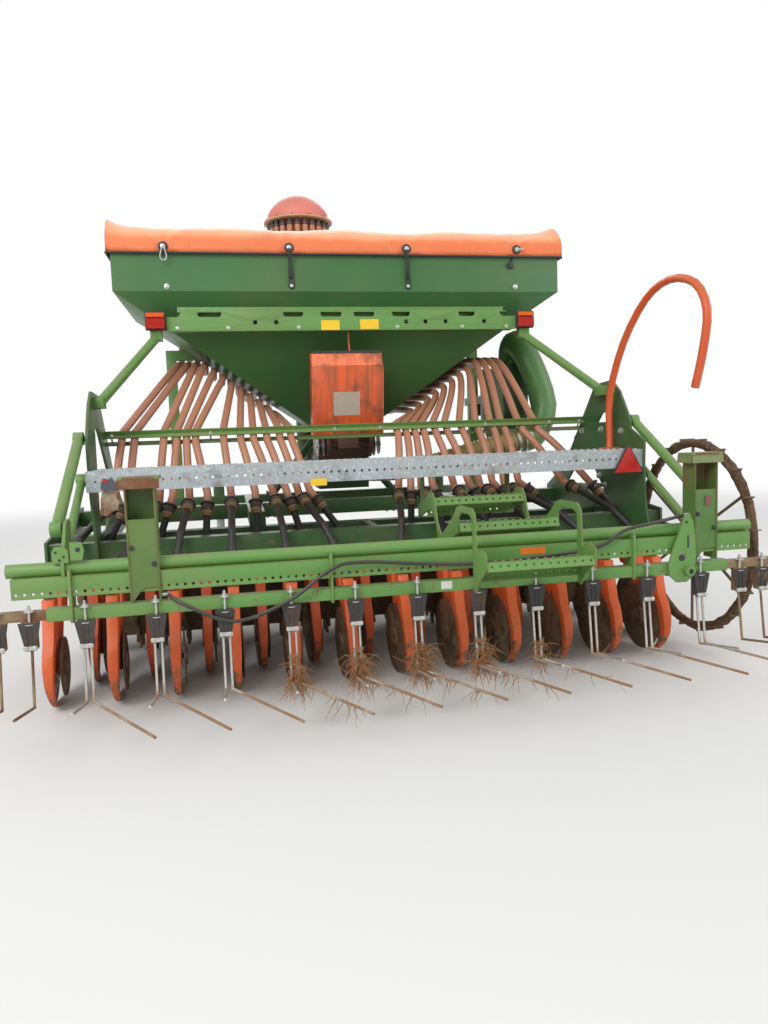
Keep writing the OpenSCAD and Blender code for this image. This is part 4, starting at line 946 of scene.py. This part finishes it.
# Air hose
# A corrugated hose with a black spiral of hard plastic, held by steel bands
# between the fan's duct and the injector under the metering unit.
DUCT_END, AIR_END = Vector((1100, 230, 1040)), Vector((150, 430, 880))
DUCT_RUN = Vector((-260, -10, -60)).normalized()
AIR_R, FOLD, FOLD_PITCH, FINE_STEP = 61.5, 3, 24, 4
SPIRAL_R, DUCT_LABEL_R = 61.2, 81.2
air_line = [DUCT_END + DUCT_RUN * SEAT_GAP] + eased(
    [DUCT_END + DUCT_RUN * 30, Vector((820, 225, 985)), Vector((560, 235, 920)),
     Vector((330, 340, 885)), AIR_END + X * 40], 24) + [AIR_END + X * SEAT_GAP]
run, fine = [0.0], []
for a, b in zip(air_line, air_line[1:]):
    run.append(run[-1] + (b - a).length)
for s in range(0, int(run[-1]), FINE_STEP):
    k = max(j for j in range(len(run) - 1) if run[j] <= s)
    fine.append(at(*air_line[k].lerp(air_line[k + 1], (s - run[k]) / (run[k + 1] - run[k]))))
folds, spiral, bands, duct_band, duct_label = blanks(5)
tube(folds, fine, [(AIR_R + FOLD * cos(2 * pi * i * FINE_STEP / FOLD_PITCH)) / 1000
                   for i in range(len(fine))], 32)
coil = []
for i in range(8, len(fine) - 8):
    ahead = (fine[i + 1] - fine[i - 1]).normalized()
    out = (Z - ahead * Z.dot(ahead)).normalized()
    for step in range(FINE_STEP):
        a = 2 * pi * (i * FINE_STEP + step) / FOLD_PITCH
        coil.append(fine[i].lerp(fine[i + 1], step / FINE_STEP)
                    + (out * cos(a) + ahead.cross(out) * sin(a)) * SPIRAL_R / 1000)
tube(spiral, coil, 0.0034, 6)
for i in (4, len(fine) - 10):
    ahead = (fine[i + 2] - fine[i]).normalized()
    turned(bands, fine[i], ahead, [(0, 63), (0, 65), (16, 65), (16, 63)], 32)
    bolt(bands, fine[i] + ahead * 0.008 + Z * 0.064, Z, 12)
turned(duct_band, at(*DUCT_END), at(*DUCT_END) - at(*(DUCT_END + DUCT_RUN)),
       [(2, 80.6), (3, 83), (14, 83), (15, 80.6)], 48)
across = Z.cross(DUCT_RUN).normalized()
over = across.cross(DUCT_RUN)
for s in (24, 36, 48, 60):
    for a in (radians(6 * n - 34) for n in range(9)):
        spoke = across * cos(a) + over * sin(a)
        duct_label[0].append(at(*(DUCT_END - DUCT_RUN * s + spoke * DUCT_LABEL_R)))
duct_label[1].extend((9 * i + n, 9 * i + n + 1, 9 * i + n + 10, 9 * i + n + 9)
                     for i in range(3) for n in range(8))
solid("duct_band", duct_band, zinc)
folded = solid("air_hose_folds", folds, moulded("spiral_hose", (190, 168, 106), mud=0.1))
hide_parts("air_hose")
solid("air_hose_spiral", spiral, rubber)
solid("air_hose_bands", bands, zinc)

# Hydraulic hose
# A black rubber hose for the harrow's pressure cylinder. It leaves the left
# post, hangs in one long bow and lies over the pipe to the right post.
PIPE_Y, PIPE_Z, BAR_Y, BAR_Z = -1420, 670, -1450, 515
LINE_BOW = ((-860, -1500, 525), (-687, -1503, 450), (-486, -1503, 512), (-334, -1503, 613),
            (-202, -1490, 632), (205, -1484, 597), (701, -1484, 621), (860, -1484, 688),
            (990, -1480, 710))
line_start = Vector((-939.7, PIPE_Y - 30, PIPE_Z - 112))
line_end = Vector((1174.7, PIPE_Y - 20, PIPE_Z + 60))
line_bow = [line_start + X * 20] + [Vector(p) for p in LINE_BOW] + [line_end - X * 20]
line_path = [at(*p) for p in [line_start] + eased(line_bow, 8) + [line_end]]
hose, ferrules = blanks(2)
tube(hose, line_path, 0.007, 14)
hose_black = moulded("hose_black", (40, 40, 42), roughness=0.45, mud=0.25, tint=0.3, scale=6)
pressure_hose = solid("pressure_hose", hose, hose_black, "harrow")
for p, q in ((line_path[0], line_path[1]), (line_path[-1], line_path[-2])):
    turned(ferrules, p, q - p, [(0, 8), (1, 9.5), (10, 9.5), (11, 8.2), (26, 8.2), (28, 7)])
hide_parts("hydraulic_lines")
hose_ends = solid("hose_ferrules", ferrules, zinc, "harrow")

# Loading board
# A galvanised walkway with rows of collared holes for grip, whose raised edge
# shows as a row of bumps. A reflector hangs at its right end, a broken one at its left.
BOARD_Y, BOARD_Z, BOARD_HALF = -930, 992, 1240
HOLE_PITCH, HOLE_COLUMNS, HOLES_FROM_X = 34, 73, -1224
ROW_SPACING, HOLE_ROWS, HOLES_FROM_Y = 36, 7, BOARD_Y + 10
SHARD = [(-38, -18), (-20, -34), (-6, -26), (34, -30), (22, 4), (6, 28), (-4, 18), (-24, 26),
         (-34, 6)]
CHIP = [(-30, 8), (-8, 10), (-6, 20), (-26, 24)]
PATCH = [(-40, -52), (-18, -60), (6, -42), (30, -34), (38, 0), (24, 22), (20, 44), (-30, 46),
         (-38, 10)]
REFLECTOR = [(-75, -54), (75, -54), (3, 76), (-3, 76)]
REFLECTOR_X, REFLECTOR_Z = 1179, 937
grips, hole_shade, shard, red_bit, patch, frame_edge, glass = blanks(7)
for n in range(HOLE_COLUMNS):
    for m in range(HOLE_ROWS):
        x = HOLES_FROM_X + n * HOLE_PITCH + HOLE_PITCH / 2 * (m % 2)
        if abs(x) < BOARD_HALF:
            top = at(x, HOLES_FROM_Y + m * ROW_SPACING, BOARD_Z)
            turned(grips, top, Z, [(0, 10), (3.5, 7.4), (3.5, 5.6), (1, 5.2)], 12)
            # The near-black disc inside each collar is painted shade, standing for the dark seen
            # through the hole.
            turned(hole_shade, top, Z, [(0.2, 5.6), (1.6, 5.6)], 10)
solid("board_grips", grips, galvanised)
solid("board_hole_shade", hole_shade, rubber)
slab(shard, SHARD, at(-1166, -935.5, 938), 7)
slab(red_bit, CHIP, at(-1166, -943, 938), 1.5)
slab(patch, PATCH, at(-1172, -920, 862), 3)
solid("reflector_shard", shard,
      moulded("weathered_plastic", (74, 76, 88), roughness=0.6, tint=0.3, scale=14), bevel=0.002)
solid("reflector_chip", red_bit, lens_red)
peeled_steel = steel("peeled_steel", (176, 160, 136), metallic=0.1, rust=0.52, fine=60)
solid("peeled_plate", patch, peeled_steel, bevel=0.0008)
for shape, share, drop, y, depth in ((frame_edge, 1.06, 0, -935.4, 5), (glass, 0.93, 2, -940.4, 2.5)):
    outline = [(a * share, b * share - drop) for a, b in REFLECTOR]
    slab(shape, outline, at(REFLECTOR_X, y, REFLECTOR_Z), depth)
solid("reflector_frame", frame_edge, rubber, bevel=0.001)
solid("reflector_glass", glass, lens_red)

# Harrow fittings
# Each tine holder is clamped to the bar by a zinc bolt with wide washers. Posts
# have folded caps, and brackets with slots and eyes are welded to the pipe.
TINE_PITCH, TINE_BAR, BAR_HALF, TUBE_BAR = 240, 45, 1330, 34
HOLDER = [(-37, 0), (-22, -78), (-19, -100), (19, -100), (22, -78), (37, 0)]
CAP_Z = 975
TALL_BRACKET = [(1056, 490), (1088, 460), (1133, 458), (1165, 480), (1178, 560), (1174, 640),
                (1164, 712), (1148, 738), (1124, 735), (1098, 660), (1072, 600), (1052, 535)]
LOW_BRACKET = [(-1302, 693), (-1246, 693), (-1246, 738), (-1262, 751), (-1290, 751), (-1302, 735)]
EYE_BRACKET = [(-1241, 700), (-1200, 700), (-1192, 735), (-1200, 765), (-1241, 765)]
BRACKET_HOLES = ((-1288, -1454, 732, 5), (-1262, -1454, 716, 5), (-1276, -1454, 704, 5),
                 (-1214, -1454, 738, 9), (1112, -1485, 560, 14), (1132, -1485, 706, 6),
                 (1140, -1509, 506, 12))


def clamp(shape, x, bar):
    """A clamp bolt beside the bar, with washers and nuts, and the clip at the holder's foot."""
    face, high, low = BAR_Y - bar / 2, BAR_Z + bar / 2, BAR_Z - bar / 2
    tube(shape, [at(x, face - 7, low - 16), at(x, face - 7, high + 24)], 0.0048, 10)
    for z, d in ((high + 1, Z), (low - 7, -Z)):
        turned(shape, at(x, face - 7, z), d, [(0, 17), (3, 17), (4, 10)], 20)
        turned(shape, at(x, face - 7, z), d, [(3, 9.5), (11, 9.5), (12, 8)], 6)
    slab(shape, oblong(46, 15, 2), at(x, face - 17, low - 90), 6)
    for dx in (-15, 15):
        bolt(shape, at(x + dx, face - 23, low - 90), -Y, 11)


def holder(shape, x, bar):
    """The pressed steel shield of a tine holder, wide at the bar and narrow at its foot."""
    face, low = BAR_Y - bar / 2, BAR_Z - bar / 2
    slab(shape, HOLDER, at(x, face - 14, low - 1), 4)
    for dx in (-8, 8):
        slab(shape, [(-1.5, -8), (-1.5, -80), (1.5, -80), (1.5, -8)], at(x + dx, face - 18, low), 2)


holder_steel = steel("holder_steel", (66, 66, 68), rust=0.34, mud=0.3)
for label, body, bar, places in (
        ("tine", "harrow", TINE_BAR, [k * TINE_PITCH for k in range(-5, 6)]),
        ("extension_left", "extension_left", TUBE_BAR, [-BAR_HALF - 55, -BAR_HALF - 160]),
        ("extension_right", "extension_right", TUBE_BAR, [BAR_HALF + 55, BAR_HALF + 160])):
    clamps, holders = blanks(2)
    for x in places:
        clamp(clamps, x, bar)
        holder(holders, x, bar)
    solid(label + "_clamps", clamps, zinc, body)
    solid(label + "_holders", holders, holder_steel, body, bevel=0.001)

brackets, hole_shade_and_bolts, left_cap, right_cap = blanks(4)
for x, cap in ((-1045, left_cap), (1175, right_cap)):
    slab(cap, [(-18, -32), (123, -32), (123, 0), (-18, 0)], at(x, PIPE_Y - 62.5, CAP_Z), 4)
    slab(cap, [(0, -32), (96, -32), (96, 0), (0, 0)], at(x - 18.5, PIPE_Y - 62, CAP_Z), -4, Y)
    for dz, dx in ((-240, 14), (-300, 88)):
        bolt(hole_shade_and_bolts, at(x + dx, PIPE_Y - 56, CAP_Z + dz), -Y, 12)
slab(brackets, TALL_BRACKET, at(0, -1478, 0), 7)
slab(brackets, LOW_BRACKET, at(0, -1446, 0), 8)
slab(brackets, EYE_BRACKET, at(0, -1447, 0), 7)
turned(brackets, at(1140, -1478, 506), -Y, [(0, 21), (30, 21), (32, 18)], 24)
turned(brackets, at(1060, -1450, 506), X, [(0, 24), (140, 24)], 24)
# Near-black discs in the brackets' holes and eyes and a strip in the slot are painted shade inside
# them; the dark bolts on the posts share their piece.
for x, y, z, r in BRACKET_HOLES:
    turned(hole_shade_and_bolts, at(x, y, z), -Y, [(0, r), (0.8, r), (1, r - 1)], 20)
slab(hole_shade_and_bolts, oblong(7, 54, 3), at(1140, -1485, 626), 0.8)
cap_rusted = steel("cap_rusted", (132, 100, 70), metallic=0.1, fine=30, mud=0.2)
solid("post_cap_left", left_cap, cap_rusted, "harrow", bevel=0.001)
cap_green = paint("cap_green", (118, 136, 86), roughness=0.6, wear=0.95, dust=0.7, mud=0.3,
                  mud_line=1.4)
solid("post_cap_right", right_cap, cap_green, "harrow", bevel=0.001)
solid("harrow_brackets", brackets, light_green, "harrow", bevel=0.0012)
solid("bracket_hole_shade", hole_shade_and_bolts, rubber, "harrow")

# Side plate
# A large green plate on the right side, held by zinc bolts with wide washers.
CHEEK_X = 1257
CHEEK = [(-250, 960), (-190, 1050), (-330, 1128), (-700, 1128), (-800, 1100), (-945, 1034),
         (-940, 900), (-960, 700), (-989, 618), (-735, 589), (-413, 905)]
CHEEK_BOLTS = ((-500, 845), (-560, 800), (-300, 1085), (-520, 1090), (-730, 1080), (-860, 960))
cheek, cheek_bolts = blanks(2)
slab(cheek, CHEEK, at(CHEEK_X, 0, 0), 10, Y)
for y, z in CHEEK_BOLTS:
    bolt(cheek_bolts, at(CHEEK_X, y, z), -X, 24)
tube(cheek_bolts, [at(1250, -560, 800), at(1200, -560, 800)], 0.011, 12)
solid("side_cheek", cheek, frame_green, bevel=0.001)
solid("cheek_bolts", cheek_bolts, zinc)

# Blank labels
# Plastic stickers without text, on the harrow's bar and right post and on the fan's duct.
label_orange = moulded("label_orange", (236, 120, 40), roughness=0.35, mud=0.1)
label_faded = moulded("label_faded", (122, 78, 72), roughness=0.6)
label_white = moulded("label_white", (206, 206, 200), roughness=0.35, mud=0.1)
for name, spot, wide, high, film in (
        ("blank_orange_label", at(476, -1465.2, 628), 104, 26, label_orange),
        ("blank_red_label", at(1236, PIPE_Y - 56.3, 790), 24, 40, label_faded),
        ("blank_white_label", at(118, -1472.8, 518), 44, 30, label_white)):
    label = ([], [])
    sticker(label, spot, wide, high)
    solid(name, label, film, "harrow")
solid("blank_duct_label", duct_label, label_white)

# Roots on the tines
# Dry roots and straw that the middle tines have gathered, wound round the wires
# and hanging from their bends.
TINE_Y, BEND_Z = BAR_Y - TINE_BAR / 2 - 25, BAR_Z - 315
GATHERED = ((-2, 90), (-1, 110), (0, 130), (1, 110), (2, 40))
WIRE_RUN = Vector((0.23, -0.285, -0.045)) * 0.8
chance = random.Random(11)
roots = ([], [])


def drawn(*ranges):
    """A random vector, from the lowest and highest value of each axis."""
    return Vector([chance.uniform(low, high) for low, high in ranges])


def fibre(start, lean, length):
    """A root that leaves its start in a direction and bends down under its own weight."""
    line, point = [start], start.copy()
    for _ in range(4):
        lean = (lean + drawn((-0.5, 0.5), (-0.5, 0.5), (-0.5, 0.5)) - Z * 0.35).normalized()
        point = point + lean * length / 4000
        point.z = max(point.z, 0.016)
        line.append(point.copy())
    tube(roots, line, [0.0017, 0.0015, 0.0012, 0.001, 0.0006], 4)


for number, amount in GATHERED:
    bend = at(number * TINE_PITCH, TINE_Y, BEND_Z)
    for _ in range(amount):
        rise = chance.random() ** 2 * 0.09
        spot = bend + Vector((chance.uniform(-0.022, 0.03), chance.uniform(-0.016, 0.016), rise))
        fibre(spot, drawn((-1, 1), (-1, 0.6), (-1, 0.7)).normalized(), chance.uniform(45, 120))
    for _ in range(amount // 4):
        along = chance.random() ** 1.5
        fibre(bend + X * 0.012 + WIRE_RUN * along, drawn((-1, 1), (-1, 1), (-1, 0.3)),
              chance.uniform(30, 90))
    for _ in range(amount // 8):
        z, r = chance.uniform(0, 0.11), chance.uniform(0.008, 0.016)
        ring = [bend + Vector((cos(a) * (r + 0.010), sin(a) * r, z + a * 0.0011))
                for a in [radians(45 * n + 40 * number) for n in range(12)]]
        tube(roots, ring, 0.0014, 4)
straw = moulded("dry_root", (146, 104, 66), roughness=0.85, dust=0.1, mud=0, tint=0.4, scale=90)
solid("tine_roots", roots, straw, "harrow")

# Earth on the spur wheel
# Wet earth cakes the ring between its teeth in a thick uneven rope, with lumps
# that stand out from it.
WHEEL_HUB, EARTH_CIRCLE = at(1545, -900, 560), 0.449
EARTH_R, EARTH_ROUGH, EARTH_LUMP, EARTH_MOST = 21, 7, 16, 26


def caked(centre, radius, around=260, sides=14, seed=3.0):
    """A closed rope of earth round a wheel whose axle lies along X."""
    points, faces = [], []
    for i in range(around):
        a = 2 * pi * i / around
        spoke = Vector((0, cos(a), sin(a)))
        lump = max(0.0, noise.noise(Vector((cos(a) * 9, sin(a) * 9, seed))) - 0.12)
        for k in range(sides):
            b = 2 * pi * k / sides
            ahead = X * cos(b) + spoke * sin(b)
            rough = noise.fractal(Vector((a * 7, b * 0.7, seed)) + ahead * 1.2, 0.8, 2.2, 5)
            out = EARTH_R + EARTH_ROUGH * rough + EARTH_LUMP * lump * (0.5 + 0.5 * sin(b + 0.6))
            points.append(centre + spoke * radius + ahead * min(out, EARTH_MOST) / 1000)
            a0, b0 = i * sides + k, i * sides + (k + 1) % sides
            c0, d0 = (a0 + sides) % (around * sides), (b0 + sides) % (around * sides)
            faces.append((a0, b0, d0, c0))
    return points, faces


def soil(name, rgb):
    """Earth: clods, crumbs and darker wet patches."""
    material, tree = begin(name)
    wet = ramped(tree, grain(tree, 12, 8), 0.35, 0.7)
    tone = blended(tree, wet, colour(rgb, 0.45), colour(rgb, 1.1))
    crumbs = ramped(tree, grain(tree, 110, 4), 0.55, 0.75)
    tone = blended(tree, crumbs, tone, colour(EARTH_PALE))
    height = plus(tree, grain(tree, 60, 8), times(tree, grain(tree, 260, 4), 0.4))
    return surfaced(material, tone, 0.92, height, 0.01)


solid("spur_wheel_earth", caked(WHEEL_HUB, EARTH_CIRCLE), soil("caked_earth", (108, 80, 58)),
      "spur_wheel", soft=180)
